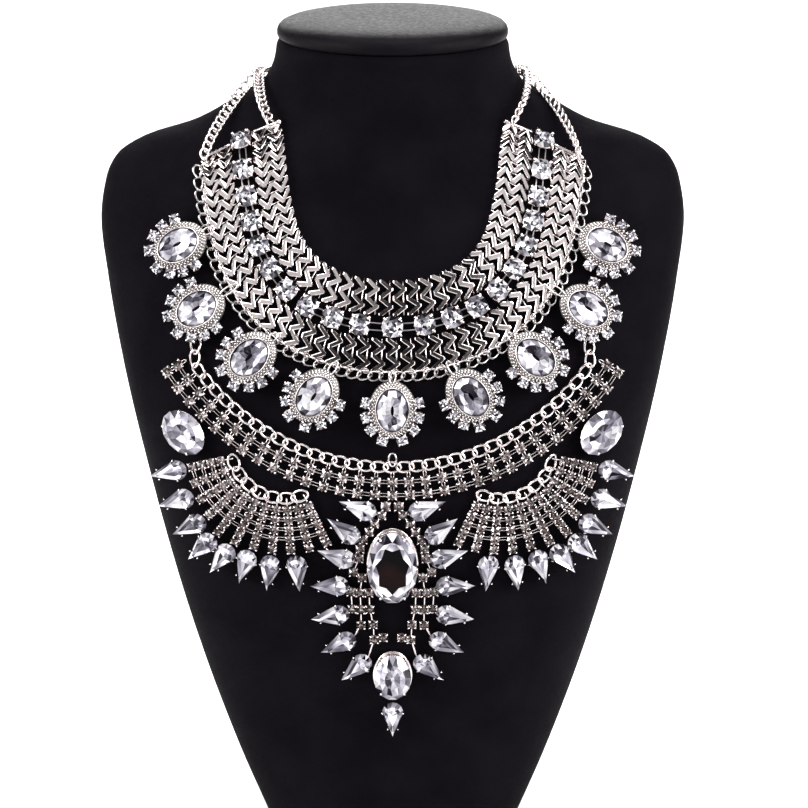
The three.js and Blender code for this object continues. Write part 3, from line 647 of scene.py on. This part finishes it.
def cut_crystal(name, stops, metallic=0.5, rough=0.05, specular=0.5):
    """Polished stone over foil, with painted reflections: every flat facet gets its own tone, from dark to
    bright by its direction and place.
    """
    material, tree, shader = new_material(name)
    facets = tree.nodes.new("ShaderNodeNewGeometry")
    where = tree.nodes.new("ShaderNodeTexCoord")
    mixed = tree.nodes.new("ShaderNodeVectorMath")
    mixed.operation = "MULTIPLY_ADD"
    mixed.inputs[1].default_value = (FACET_VARIETY,) * 3
    spread = tree.nodes.new("ShaderNodeVectorMath")
    spread.operation = "SCALE"
    spread.inputs["Scale"].default_value = PLACE_VARIETY
    texture = tree.nodes.new("ShaderNodeTexNoise")
    texture.inputs["Scale"].default_value = 1
    texture.inputs["Detail"].default_value = 1
    tree.links.new(where.outputs["Object"], spread.inputs[0])
    tree.links.new(facets.outputs["True Normal"], mixed.inputs[0])
    tree.links.new(spread.outputs["Vector"], mixed.inputs[2])
    tree.links.new(mixed.outputs["Vector"], texture.inputs["Vector"])
    tree.links.new(ramp(tree, texture.outputs["Fac"], stops), shader.inputs["Base Color"])
    shader.inputs["Metallic"].default_value = metallic
    shader.inputs["Roughness"].default_value = rough
    shader.inputs["Specular IOR Level"].default_value = specular
    return material


# the stones' base colours are painted reflections: painted highlights and painted dark facets
foil = cut_crystal("foiled crystal", CLEAR_FACET_REFLECTIONS, 0.45)
sparkling = cut_crystal("sparkling crystal", SPARKLING_FACET_REFLECTIONS)
small_foil = cut_crystal("small foiled stone", SMALL_FACET_REFLECTIONS)
painted_dark_reflection = cut_crystal("painted dark reflection in a stone's heart", DARK_REFLECTION_TONES, rough=0.12, specular=0.12)


def mounted(stone, places, backing=None, heart=None):
    """Layers of a stone in its metal setting, repeated over places."""
    setting, crown, back, middle = stone
    backing = backing or small_foil
    return [(repeat(setting, places), metal, True), (repeat(crown, places), backing, False),
            (repeat(back, places), backing, False), (repeat(middle, places), heart or backing, False)]


# the cup wires get painted shade, a dark plating for the shade behind the cups
painted_shade_plating = plated_metal("plating with painted shade", 0.3, PAINTED_SHADE_TONES, 0.1)
side = np.linspace(-1, 1, CRYSTAL_COUNT)
crystal_share = (1 + CRYSTAL_END * np.sign(side) * np.abs(side) ** CRYSTAL_SPREAD) / 2
for number, stretch in enumerate(("left", "front", "right")):
    shares = crystal_share[number * CRYSTALS_A_STRETCH:(number + 1) * CRYSTALS_A_STRETCH]
    along = np.linspace(shares[0], shares[-1], 60)
    rails = [chest_wire(beside_collar(along, offset), CUP_WIRE_LIFT, CUP_WIRE_RADIUS)
             for offset in (-CUP_WIRE_ASIDE, CUP_WIRE_ASIDE)]
    seats = seat(beside_collar(shares, 0), collar_way(shares), METAL_BACK)
    piece(f"crystals_{stretch}", mounted(claw_cup(**CRYSTAL_CUP), seats, sparkling)
          + [(joined(*rails), painted_shade_plating, True)], [f"collar_crystals_{stretch}"])

# -------------------------------------------- chain at the bands' outer edge
# Curb chain of twisted wire links, in the same plating but worn duller. It runs along the
# outer band, held by the band's eyelets, and the medallions hang from it.
EDGE_OFFSET, EDGE_LIFT, EDGE_END = 18, METAL_BACK + 1.1, 0.99
EDGE_LINK = {"length": 5.9, "width": 3.7, "radius": 0.42, "lean": 0.7}
EDGE_PITCH, EDGE_ROLL, EDGE_TURN = 4.3, (20, 20), 14
WORN_TONES = [(0.42, 0.39, 0.385), (0.6, 0.565, 0.56)]


def chain(line, link, pitch, roll, outs=None, lift=0.0):
    """Curb chain: equal links along a line, rolled a little further from one end to the other."""
    here, ahead = even_steps(np.asarray(line, float), pitch)
    if outs is None:
        places = seat(here, np.degrees(np.arctan2(ahead[:, 1], ahead[:, 0])), lift)
    else:
        places = place(here, ahead, outs(here))
    turns = np.tile(np.eye(4), (len(here), 1, 1))
    angle = np.radians(np.linspace(*roll, len(here)))
    turns[:, 1, 1] = turns[:, 2, 2] = np.cos(angle)
    turns[:, 2, 1], turns[:, 1, 2] = np.sin(angle), -np.sin(angle)
    return repeat(link, places @ turns)


edge_link = turned(loop(**EDGE_LINK, steps=16, sides=7), EDGE_TURN)
edge_line = in_collar(np.linspace(-EDGE_END, EDGE_END, 600), EDGE_OFFSET)
edge_links = chain(edge_line, edge_link, EDGE_PITCH, EDGE_ROLL, lift=EDGE_LIFT)
worn = plated_metal("worn plating", 0.2, WORN_TONES, 0.1)
piece("edge_curb", [(edge_links, worn, True)], ["edge_chain"])

# -------------------------------------------- oval medallions
# Cast ovals with a foiled oval stone in a thin polished bezel, a granulated border and, on
# the half away from the neck, a halo of eight small claw cups. Each hangs by a wire ring.
# middle x and z, tilt of the outer end below level, reach of the ring that it hangs by
MEDALLIONS = [(0, 194, 90, 3.3), (30, 199.3, 56, 4.3), (54.4, 212.8, 42, 2.3),
              (74.2, 229.8, 33, 6.8), (81.6, 252, 29, 3.8)]
# half length, half width and height of the back above the bust
MEDALLION_LONG, MEDALLION_WIDE, MEDALLION_LIFT = 11.3, 9.15, 3.1
# distance in from the medallion's edge, and height
BORDER = [(0.6, 0), (0, 0.5), (0, 1.1), (0.5, 1.7), (1.3, 2.25)]
BEZEL = [(2.4, 2.75), (2.5, 3.4), (2.75, 3.5), (2.9, 3.0)]
WELL = [(3.3, 1.0)]
# distance in, height and radius of the beads of a row
BEAD_ROWS, BEADS = [(1.35, 2.35, 0.43), (2.05, 2.65, 0.33)], 42
RIDGES, RIDGE_RADIUS, RIDGE_SPAN = 46, 0.28, [(0.05, 1.0), (0.9, 2.15)]
STONE_INSET, STONE_SIDES = 3.15, 14
MEDALLION_CUT = {"girdle": 3.05, "table": 4.9, "shares": (0.72, 0.44, 0.24), "keel": (1, 0.45)}
CAST_TONES = [(0.63, 0.592, 0.585), (0.84, 0.792, 0.785)]
# dark cast ground: blackening between the beads, and painted shade in the gap round the stone
RECESS_SHADE_AND_BLACKENING_TONES = [(0.09, 0.082, 0.08), (0.22, 0.205, 0.2)]
HALO_ANGLES = [18, 47, 74, 105, -18, -47, -74, -105]
HALO_CUP = {"half": 2.4, "top": 3.3, "sides": 9, "grip": 0.19, "wall": 0.92, "power": 2.0}
# how far the halo's cups reach into the border
HALO_SUNK = 1.2
# the ring: width, radius of its wire, lap over what it joins, shift towards the middle, height
RING_WIDE, RING_RADIUS, RING_LAP, RING_BACK, RING_Z = 2.6, 0.38, 0.8, 0.3, 1.2


def flat_place(x, y, degrees, z=0.0):
    """Place on the medallion, turned about its way out."""
    c, s = math.cos(math.radians(degrees)), math.sin(math.radians(degrees))
    return np.array([[c, -s, 0, x], [s, c, 0, y], [0, 0, 1, z], [0, 0, 0, 1]])


def inner_oval(inset, sides, turn=0.5):
    """Outline at a distance in from the medallion's edge."""
    return oval(MEDALLION_LONG - inset, MEDALLION_WIDE - inset, sides, turn)


def cast_rings(levels, rise=0.0, sides=56):
    """Outlines of the medallion, level by level."""
    return [np.column_stack([inner_oval(inset, sides), np.full(sides, height + rise)])
            for inset, height in levels]


ground = loft(cast_rings(BORDER + BEZEL + WELL))
polished = []
for row, (inset, height, radius) in enumerate(BEAD_ROWS):
    beads = inner_oval(inset, BEADS, 0.5 * row)
    polished.append(repeat(ball(radius), [flat_place(x, y, 0, height) for x, y in beads]))
for ends in zip(*(inner_oval(inset, RIDGES) for inset, _ in RIDGE_SPAN)):
    polished.append(wire([(x, y, height) for (x, y), (_, height) in zip(ends, RIDGE_SPAN)], RIDGE_RADIUS, 5))
polished = joined(*polished, loft(cast_rings(BEZEL, 0.03), capped=False))

halo_spots = []
for way in HALO_ANGLES:
    c, s = math.cos(math.radians(way)), math.sin(math.radians(way))
    rim = MEDALLION_LONG * MEDALLION_WIDE / math.hypot(MEDALLION_WIDE * c, MEDALLION_LONG * s)
    reach = rim + HALO_CUP["half"] - HALO_SUNK
    halo_spots.append(flat_place(reach * c, reach * s, way))
halo_spots = np.array(halo_spots)

cast = plated_metal("cast plating", 0.22, CAST_TONES, 0.08)
shade_and_blackening = plated_metal("blackened recesses and painted shade", 0.5, RECESS_SHADE_AND_BLACKENING_TONES, 0.1)
medallion_stone = cut_stone(inner_oval(STONE_INSET, STONE_SIDES), **MEDALLION_CUT)
halo_cup = claw_cup(**HALO_CUP)
for number, (x, z, tilt, bail) in enumerate(MEDALLIONS):
    for side_name, sign in (("right", 1), ("left", -1)):
        name = "front" if x == 0 else f"{side_name}_{number}"
        if x == 0 and sign < 0:
            continue
        here = seat([sign * x, z], -tilt if sign > 0 else tilt - 180, MEDALLION_LIFT)
        ring = shifted(loop(bail + 2 * RING_LAP, RING_WIDE, RING_RADIUS),
                       -MEDALLION_LONG - bail / 2 + RING_BACK, 0, RING_Z)
        # the ground is dark with blackening in its hollows and painted shade round the stone; the stone's
        # heart is a painted dark reflection
        piece(f"oval_{name}", [(repeat(ground, here), shade_and_blackening, True), (repeat(polished, here), cast, True)]
              + mounted((ring, *medallion_stone), here, foil, painted_dark_reflection)
              + mounted(halo_cup, here @ halo_spots, sparkling), [f"medallion_{name}"])

# -------------------------------------------- swag chain
# Curb chain of thick round wire in a long swag under the medallions. Its ends turn up to
# two medallions on each side, and a small ring joins it to the middle one.
# height of the middle of the swag's arc, its radius, and the angle to each end
SWAG_Z, SWAG_RADIUS, SWAG_REACH = 267.6, 96, 52.2
SWAG_LINK = {"length": 6.7, "width": 4.3, "radius": 0.5, "lean": 0.45}
SWAG_PITCH, SWAG_ROLL, SWAG_LIFT = 5.0, (12, 12), METAL_BACK + 1.0
# first and last point of the part that turns up, from the arc's end
SWAG_TAIL = [(0.3, 1), (-0.2, 10)]
MIDDLE_RING, RING_AT = {"length": 5.2, "width": 3.0, "radius": 0.36}, (0, 174.6)


def around_swag(degrees, radius):
    """Points about the swag's middle in the front view, straight down at 0."""
    angle = np.radians(degrees)
    return np.stack([radius * np.sin(angle), SWAG_Z - radius * np.cos(angle)], -1)


swag_line = around_swag(np.linspace(-SWAG_REACH, SWAG_REACH, 400), SWAG_RADIUS)
tail = swag_line[-1:] + np.linspace(*SWAG_TAIL, 20)
swag_line = np.concatenate([tail[::-1] * [-1, 1], swag_line, tail])
curb_link = loop(**SWAG_LINK, steps=22, sides=8)
middle_ring = repeat(loop(**MIDDLE_RING), seat(RING_AT, 90, SWAG_LIFT + 0.8))
piece("swag_curb", [(chain(swag_line, curb_link, SWAG_PITCH, SWAG_ROLL, lift=SWAG_LIFT), metal, True),
                    (middle_ring, metal, True)], ["swag_chain"])

# -------------------------------------------- rhinestone net
# Thirty-one columns of two square claw cups with small foiled stones, hooked to the swag
# chain. Flat bars of double wire join the columns.
# columns, angle to the last one, and the rows' radius about the swag's middle
NET_COLUMNS, NET_REACH, NET_ROWS = 31, 54.3, (101.9, 107.1)
NET_CUP = {"half": 2.3, "top": 2.45}
NET_WIRE_ASIDE, NET_WIRE_RADIUS, NET_WIRE_LIFT = 0.6, 0.16, METAL_BACK + 0.9
NET_HOOK = {"length": 2.4, "width": 1.2, "radius": 0.16, "steps": 12}
# radius about the swag's middle of the hooks to the chain and of those between the rows
NET_HOOK_ROWS, NET_HOOK_LIFT = (99.2, 104.5), METAL_BACK + 1.1
# two more stones under the middle columns: x, z
EXTRA_NET_STONES = [(-2.5, 156), (2.5, 156)]

net_angles = np.linspace(-NET_REACH, NET_REACH, NET_COLUMNS)
net_cup = claw_cup(**NET_CUP)
net_seats = np.concatenate([seat(around_swag(net_angles, row), net_angles, METAL_BACK) for row in NET_ROWS]
                           + [seat(EXTRA_NET_STONES, 0, METAL_BACK)])
net_wires = []
for row in NET_ROWS:
    for aside in (-NET_WIRE_ASIDE, NET_WIRE_ASIDE):
        path = around_swag(np.linspace(-NET_REACH, NET_REACH, 240), row + aside)
        net_wires.append(chest_wire(path, NET_WIRE_LIFT, NET_WIRE_RADIUS, 5))
hooks = [repeat(loop(**NET_HOOK), seat(around_swag(net_angles, radius), 90 + net_angles, NET_HOOK_LIFT))
         for radius in NET_HOOK_ROWS]
piece("rhinestone_net", mounted(net_cup, net_seats) + [(joined(*net_wires, *hooks), metal, True)],
      ["stone_net"])

# -------------------------------------------- fans at both sides
# A bow of curb chain under each end of the net, with eleven short strands of small claw
# cups that spread to the drops. Wires at two heights keep the strands apart.
# middle of the bow's arc, its radius, and the ways to its two ends
FAN_X, FAN_Z, FAN_LOOP_RADIUS, FAN_LOOP_WAYS = 42.5, 178.5, 19.8, (-117.3, -11.7)
FAN_WAYS = np.linspace(-114.3, -14.7, 11)
FAN_FIRST_STONE, FAN_STONE_PITCH, FAN_LAST_GAP = 24.7, 3.95, 1.8
FAN_CUP = {"half": 2.1, "top": 2.4}
FAN_BARS = [FAN_FIRST_STONE + FAN_STONE_PITCH * n for n in range(4)]
# radius and height of the strands' wires; half the gap, radius and height of the bars' wires
FAN_WIRE, FAN_WIRE_LIFT = 0.4, METAL_BACK + 0.6
FAN_BAR_ASIDE, FAN_BAR_WIRE, FAN_BAR_LIFT = 0.55, 0.15, METAL_BACK + 0.7
# drops of the right fan: tip x, tip z, way the tip points from level
FAN_DROPS = [(94.5, 164.5, -16), (91.5, 152.5, -20), (86, 141, -29), (80, 130.8, -45),
             (71.5, 125.7, -53.5), (59.8, 121.9, -73), (48.8, 119.9, -82), (36.1, 120.3, -95)]
DROP_LENGTH, DROP_RADIUS, DROP_GAP = 15.4, 4.1, 0.32


def behind_drop(row, distance):
    """Point behind the middle of a drop's round end: x, z."""
    x, z, way = row
    angle = math.radians(way)
    reach = DROP_LENGTH - DROP_RADIUS + distance
    return np.array([x - reach * math.cos(angle), z - reach * math.sin(angle)])


def around_fan(degrees, radius):
    """Points about the right bow's middle in the front view."""
    angle = np.radians(degrees)
    return np.stack([FAN_X + radius * np.cos(angle), FAN_Z + radius * np.sin(angle)], -1)


rim_points = np.array([behind_drop(row, DROP_RADIUS + DROP_GAP) for row in FAN_DROPS[::-1]]) - [FAN_X, FAN_Z]
rim_ways = np.degrees(np.arctan2(rim_points[:, 1], rim_points[:, 0]))
rim_reach = np.interp(FAN_WAYS, rim_ways, np.hypot(rim_points[:, 0], rim_points[:, 1]))
fan_cup = claw_cup(**FAN_CUP)
for name, sign in (("left", -1), ("right", 1)):
    mirror = np.array([sign, 1])
    bow = around_fan(np.linspace(*FAN_LOOP_WAYS, 120), FAN_LOOP_RADIUS) * mirror
    spots, wires, ways = [], [], []
    for way, reach in zip(FAN_WAYS, rim_reach):
        count = int(round((reach - FAN_LAST_GAP - FAN_FIRST_STONE) / FAN_STONE_PITCH)) + 1
        steps = np.linspace(FAN_FIRST_STONE, reach - FAN_LAST_GAP, count)
        spots.append(around_fan(way, steps) * mirror)
        ways += [way if sign > 0 else 180 - way] * count
        strand = around_fan(way, np.linspace(FAN_LOOP_RADIUS, reach, 12)) * mirror
        wires.append(chest_wire(strand, FAN_WIRE_LIFT, FAN_WIRE, 5))
    for bar in FAN_BARS:
        for aside in (-FAN_BAR_ASIDE, FAN_BAR_ASIDE):
            line = around_fan(np.linspace(FAN_WAYS[0], FAN_WAYS[-1], 60), bar + aside) * mirror
            wires.append(chest_wire(line, FAN_BAR_LIFT, FAN_BAR_WIRE, 5))
    fan_seats = seat(np.concatenate(spots), ways, METAL_BACK)
    piece(f"fan_strands_{name}", mounted(fan_cup, fan_seats)
          + [(chain(bow, curb_link, SWAG_PITCH, SWAG_ROLL, lift=SWAG_LIFT), metal, True),
             (joined(*wires), metal, True)], [f"fan_{name}"])

# -------------------------------------------- pointed drops
# Thirty-one pear stones with foiled backs in thin pressed settings, with four claws each.
# They hang point outwards from the fans and round the pendant.
# drops of the pendant's right half: tip x, tip z, way the tip points from level
PENDANT_DROPS = [(20.8, 158.2, 21), (25.3, 151.3, 38), (29.3, 137.9, 18), (32.2, 123, -1),
                 (31.9, 108.9, -11), (28.1, 94.6, -28), (20.3, 82.5, -43)]
FOOT_DROP = (0, 57.6, -90)
# share and height of the setting's levels, and the point that it narrows towards
PEAR_LEVELS, PEAR_MIDDLE = [(0.8, 0), (0.9, 0.8), (0.93, 1.7), (0.88, 1.75), (0.7, 0.9)], (1.6, 0)
# its claws' feet, then the low and high end and the radius of each
PEAR_CLAWS, PEAR_CLAW = [(8.1, 2.1), (8.1, -2.1), (0.6, 4.35), (0.6, -4.35)], (0.2, 2.7, 0.33)
PEAR_CUT = {"girdle": 1.8, "table": 4.0, "shares": (0.8, 0.46, 0.05), "sink": 0.9, "middle": (1.2, 0)}


def pear(radius, tip, arc):
    """Pear outline that points along its own X, starting at the point."""
    opening = math.acos(radius / tip)
    angle = np.linspace(opening, 2 * math.pi - opening, arc)
    round_end = np.stack([radius * np.cos(angle), radius * np.sin(angle)], 1)
    straight = np.array([tip, 0]) + np.linspace([0, 0], round_end[0] - [tip, 0], 3, endpoint=False)
    return np.concatenate([straight, round_end, straight[:0:-1] * [1, -1]])


pear_tip = DROP_LENGTH - DROP_RADIUS
pear_setting = stacked(pear(DROP_RADIUS, pear_tip, 15), PEAR_LEVELS, PEAR_MIDDLE)
pear_stone = cut_stone(pear(DROP_RADIUS, pear_tip, 9), **PEAR_CUT)
pear_claws = claws(np.array(PEAR_CLAWS), *PEAR_CLAW, PEAR_MIDDLE)
pear_drop = (joined(pear_setting, pear_claws), *pear_stone)


def drop_seat(row, sign):
    """Place of a drop on the right, or of its mirror image on the left."""
    x, z = behind_drop(row, 0)
    return seat([sign * x, z], row[2] if sign > 0 else 180 - row[2], METAL_BACK)


for family, rows in (("fan", FAN_DROPS), ("pendant", PENDANT_DROPS)):
    for number, row in enumerate(rows, 1):
        for name, sign in (("right", 1), ("left", -1)):
            piece(f"pear_{family}_{name}_{number}", mounted(pear_drop, drop_seat(row, sign), foil),
                  [f"{family}_drop_{name}_{number}"])
piece("pear_foot", mounted(pear_drop, drop_seat(FOOT_DROP, 1), foil), ["foot_drop"])

# -------------------------------------------- large oval stones
# Two ovals on the pendant's plates and one at each end of the net: foiled stones with a
# wide crown, held by round-headed claws.
# middle x and z, half width, half length, lean, height of the back above the bust, thickness
OVALS = {
    "centre_oval": (0, 131.5, 10, 15, 90, 2, 6.4),
    "foot_oval": (0, 84.5, 7.5, 10, 90, 2, 5),
    "side_oval_right": (80.8, 182.7, 7.5, 10, 48, 0.8, 5.4),
    "side_oval_left": (-80.8, 182.7, 7.5, 10, 132, 0.8, 5.4),
}
# corners of the cut, height of the girdle as a share of the thickness
OVAL_SIDES, OVAL_GIRDLE = 14, 0.45
OVAL_CUT = {"shares": (0.7, 0.42, 0.1), "sink": 1.3}
# the largest stone's table shows a heart painted dark as a reflection, with a toothed edge
CENTRE_CUT = {"shares": (0.84, 0.76, 0.7), "sink": 0.8, "keel": np.tile([[1], [0.8]], (OVAL_SIDES // 2, 1))}
OVAL_CLAW_ANGLES = {"centre_oval": (30, 90, 150, 210, 270, 330), "foot_oval": (42, 138, 222, 318)}
SIDE_CLAW_ANGLES = (40, 140, 220, 320)
# how far in the claws stand, their low end, their height as a share, and their radius
CLAW_INSET, OVAL_CLAW_LOW, OVAL_CLAW_HIGH, OVAL_CLAW_THICK = 0.3, 0.3, 0.74, 0.55
for name, (x, z, across, along, lean, lift, height) in OVALS.items():
    angles = np.radians(OVAL_CLAW_ANGLES.get(name, SIDE_CLAW_ANGLES))
    feet = np.stack([(along - CLAW_INSET) * np.cos(angles), (across - CLAW_INSET) * np.sin(angles)], 1)
    rim = OVAL_GIRDLE * height
    wall = stacked(oval(along, across, 40), [(0.84, 0), (0.95, 0.5 * rim), (0.97, 0.85 * rim),
                                             (0.93, 0.9 * rim), (0.8, 0.5)])
    cut, heart = OVAL_CUT, foil
    if name == "centre_oval":
        cut, heart = CENTRE_CUT, painted_dark_reflection
    stone = cut_stone(oval(along * 0.99, across * 0.99, OVAL_SIDES), rim, height, **cut)
    setting = joined(wall, claws(feet, OVAL_CLAW_LOW, OVAL_CLAW_HIGH * height, OVAL_CLAW_THICK))
    piece(f"stone_{name}", mounted((setting, *stone), seat([x, z], lean, lift), foil, heart),
          [name])

# -------------------------------------------- frame of the pendant
# Small claw cups in two uneven rows down both sides of the large ovals, joined by short
# bars, with a thin plate under each oval.
# stones of the right half
FRAME_STONES = [(4.1, 152.3), (7, 149), (9, 145.6), (11.3, 142.4), (12.6, 138.6), (13, 134.6),
                (15.2, 128.8), (11.8, 126.6), (9.2, 120.2), (12.7, 120.2), (16.2, 120.6), (8.9, 113.3),
                (12.3, 113.1), (15.7, 113.3), (7.6, 106.8), (12.3, 106.5), (3.6, 101.2), (7.2, 100.3)]
FRAME_CUP = {"half": 2.15, "top": 2.4}
# least and most length of a bar, and how far it may lean sideways
BAR_LEAST, BAR_MOST, BAR_ASIDE = 4.5, 7.6, 2.2
# radius and height of the bars between stones, and of those behind the drops with their lap
FRAME_BAR, FRAME_BAR_LIFT = 0.3, METAL_BACK + 1.0
DROP_BAR, DROP_BAR_LIFT, DROP_BAR_LAP = 0.4, METAL_BACK + 0.7, 0.5
# half width, half length and middle height of the plates under the ovals
OVAL_PLATES = [(10.2, 15.6, 131.5), (7.8, 10.6, 84.5)]
PLATE_LEVELS = [(0.97, 0), (1, 0.3), (1, 0.8), (0.97, 1.0), (0.9, 1.0)]

frame_stones = np.array(FRAME_STONES)
frame_spots = np.array([(sign * x, z) for x, z in FRAME_STONES for sign in (1, -1)])
bars = []
for n, a in enumerate(frame_spots):
    for b in frame_spots[n + 1:]:
        gap = b - a
        if BAR_LEAST < np.linalg.norm(gap) < BAR_MOST and abs(gap[0]) < BAR_ASIDE:
            bars.append(chest_wire(np.linspace(a, b, 5), FRAME_BAR_LIFT, FRAME_BAR))
for row in PENDANT_DROPS:
    start = behind_drop(row, DROP_RADIUS - DROP_BAR_LAP)
    nearest = frame_stones[np.argmin(np.linalg.norm(frame_stones - start, axis=1))]
    for sign in (1, -1):
        bars.append(chest_wire(np.linspace(start, nearest, 6) * [sign, 1], DROP_BAR_LIFT, DROP_BAR))
plates = [repeat(stacked(oval(along, across, 48), PLATE_LEVELS), seat([0, z], 90, METAL_BACK))
          for across, along, z in OVAL_PLATES]
piece("pendant_cups", mounted(claw_cup(**FRAME_CUP), seat(frame_spots, 0, METAL_BACK))
      + [(joined(*bars, *plates), metal, True)], ["pendant_frame"])

# -------------------------------------------- neck chains and clasp
# Two curb chains from each end of the collar meet behind the shoulder and run round the
# nape to a small barrel clasp.
CURB_LINK = {"length": 5.2, "width": 3.5, "radius": 0.5, "lean": 0.8}
CURB_PITCH, CURB_TURN = 3.5, 24
# where the chains leave the collar: share of its half, offsets from its middle line, height
CHAIN_START, CHAIN_OFFSETS, CHAIN_START_LIFT = 0.985, (-14.5, 14.6), 5.15
# how they run on: a point of each on the bust with its height, then to where they meet, as x, y, z
INNER_BEND, OUTER_BEND = ((47.8, 303), 5.5), ((68.5, 290), 4.4)
OUTER_RISE, CHAIN_MEET = (60, -0.5, 305.8), (52.8, 6.5, 312.8)
# height of the chain at the nape, how far it rises to the sides, and its gap to the neck
NAPE_Z, NAPE_RISE, NAPE_GAP = 299.5, 13.5, 3.0
NAPE_WAYS = (12, 25, 38, 50, 62, 73, 81)
# how the links are rolled from the collar on, and how much the ways out of the shoulder look up
INNER_ROLL, OUTER_ROLL, SHOULDER_RISE = (72, 40), (25, 65), 0.6
CLASP_LENGTH, CLASP_SIDES, CLASP_BACK = 11, 24, 0.9
# place along the clasp as a share of its length, and radius
CLASP_PROFILE = [(-0.5, 0.5), (-0.48, 1.0), (-0.36, 1.15), (-0.33, 1.75), (-0.3, 1.95), (-0.06, 2.0),
                 (-0.03, 1.7), (0.03, 1.7), (0.06, 2.0), (0.3, 1.95), (0.33, 1.75), (0.36, 1.15),
                 (0.48, 1.0), (0.5, 0.5)]


def round_nape(degrees):
    """Point round the right half of the neck, from its side at 0 to the nape at 90."""
    angle = math.radians(degrees)
    z = NAPE_Z + NAPE_RISE * math.cos(angle) ** 2
    middle = (front_at(z) + back_at(z)) / 2
    bend = 2 / power_at(z)
    return (float((half_width_at(z) + NAPE_GAP) * max(math.cos(angle), 0) ** bend),
            float(middle + (back_at(z) - middle + NAPE_GAP) * math.sin(angle) ** bend), z)


def away_from_neck(points):
    """Ways out of the sloping shoulder, which the chains lie against."""
    out = (points - [0, NECK_MIDDLE, 0]) * [1, 1, 0]
    out[:, 2] = SHOULDER_RISE * np.linalg.norm(out, axis=1)
    return out


fine_link = turned(loop(**CURB_LINK, steps=16, sides=7), CURB_TURN)
inner_start, outer_start = on_bust(in_collar(CHAIN_START, CHAIN_OFFSETS), CHAIN_START_LIFT)
inner_route = [inner_start, on_bust(*INNER_BEND)[0], CHAIN_MEET, *map(round_nape, NAPE_WAYS)]
outer_route = [outer_start, on_bust(*OUTER_BEND)[0], OUTER_RISE, CHAIN_MEET]
for name, sign in (("left", -1), ("right", 1)):
    links = [chain(soft_curve(np.array(route) * [sign, 1, 1]), fine_link, CURB_PITCH, roll, away_from_neck)
             for route, roll in ((inner_route, INNER_ROLL), (outer_route, OUTER_ROLL))]
    piece(f"neck_curb_{name}", [(joined(*links), metal, True)], [f"neck_chain_{name}"])

barrel = loft([[(CLASP_LENGTH * share, radius * math.cos(a), radius * math.sin(a))
                for a in np.linspace(0, 2 * math.pi, CLASP_SIDES, endpoint=False)]
               for share, radius in CLASP_PROFILE])
piece("barrel_clasp", [(shifted(barrel, *np.add(round_nape(90), [0, CLASP_BACK, 0])), metal, True)],
      ["clasp"])

# -------------------------------------------- floor, light and camera
# Pale studio floor under soft boxes at both sides and above. Two weak panels in front, with
# a gap between them, brighten the bands' sides. A long lens looks down a little from the front.
FLOOR_TONE = (0.86, 0.855, 0.85)
WORLD_TONE, WORLD_STRENGTH = (1.0, 0.97, 0.96), 0.02
# name, place, aimed at, width, height, power in watts, spread of the light in degrees
SOFT_BOXES = [
    ("left_box", (-1.3, -0.55, 0.7), (0, 0, 0.26), 1.2, 1.0, 8, 80),
    ("right_box", (1.3, -0.55, 0.7), (0, 0, 0.26), 1.2, 1.0, 9.5, 80),
    ("left_panel", (-0.56, -1.02, 0.92), (0, -0.06, 0.24), 1.0, 1.0, 2.2, 180),
    ("right_panel", (0.56, -1.02, 0.92), (0, -0.06, 0.24), 1.0, 1.0, 2.4, 180),
    ("top_box", (0, -0.3, 1.6), (0, -0.02, 0.2), 1.2, 0.7, 3, 80),
    ("back_box", (0, 2.4, 1.05), (0, 0, 0.33), 2.4, 0.9, 17, 100),
    ("floor_box", (0, 2.0, 1.4), (0, 2.0, 0), 4.6, 3.7, 115, 60),
]
CAMERA_AIM = (4.5, -50, 192)
CAMERA_DISTANCE, CAMERA_ELEVATION, CAMERA_LENS = 1500, 15.5, 171


def looking(thing, place_m, aim_m):
    way = mathutils.Vector(aim_m) - mathutils.Vector(place_m)
    thing.location = place_m
    thing.rotation_euler = way.to_track_quat("-Z", "Y").to_euler()


def floor_finish():
    material, tree, shader = new_material("pale floor")
    shader.inputs["Base Color"].default_value = (*FLOOR_TONE, 1)
    dull = ramp(tree, noise(tree, 3), [(0.3, grey(0.6)), (0.7, grey(0.7))])
    tree.links.new(dull, shader.inputs["Roughness"])
    return material


floor_mesh = bpy.data.meshes.new("floor")
floor_mesh.from_pydata([(-8, -8, 0), (8, -8, 0), (8, 8, 0), (-8, 8, 0)], [], [(0, 1, 2, 3)])
floor = bpy.data.objects.new("floor", floor_mesh)
floor_mesh.materials.append(floor_finish())
scene.collection.objects.link(floor)

for name, spot, target, wide, high, power, spread in SOFT_BOXES:
    box_light = bpy.data.lights.new(name, "AREA")
    box_light.shape = "RECTANGLE"
    box_light.size = wide
    box_light.size_y = high
    box_light.energy = power
    box_light.spread = math.radians(spread)
    lamp = bpy.data.objects.new(name, box_light)
    lamp.visible_camera = False
    scene.collection.objects.link(lamp)
    looking(lamp, spot, target)

world = bpy.data.worlds.new("studio")
world.use_nodes = True
around = world.node_tree.nodes["Background"]
around.inputs["Color"].default_value = (*WORLD_TONE, 1)
around.inputs["Strength"].default_value = WORLD_STRENGTH
scene.world = world
scene.view_settings.view_transform = "Standard"

aim = (np.array(CAMERA_AIM) + [0, SHIFT, 0]) * MM
tilt = math.radians(CAMERA_ELEVATION)
stand = aim + np.array([0, -math.cos(tilt), math.sin(tilt)]) * CAMERA_DISTANCE * MM
lens = bpy.data.cameras.new("camera")
lens.lens = CAMERA_LENS
lens.sensor_width = 36
camera = bpy.data.objects.new("camera", lens)
scene.collection.objects.link(camera)
looking(camera, tuple(stand), tuple(aim))
bpy.context.scene.camera = camera
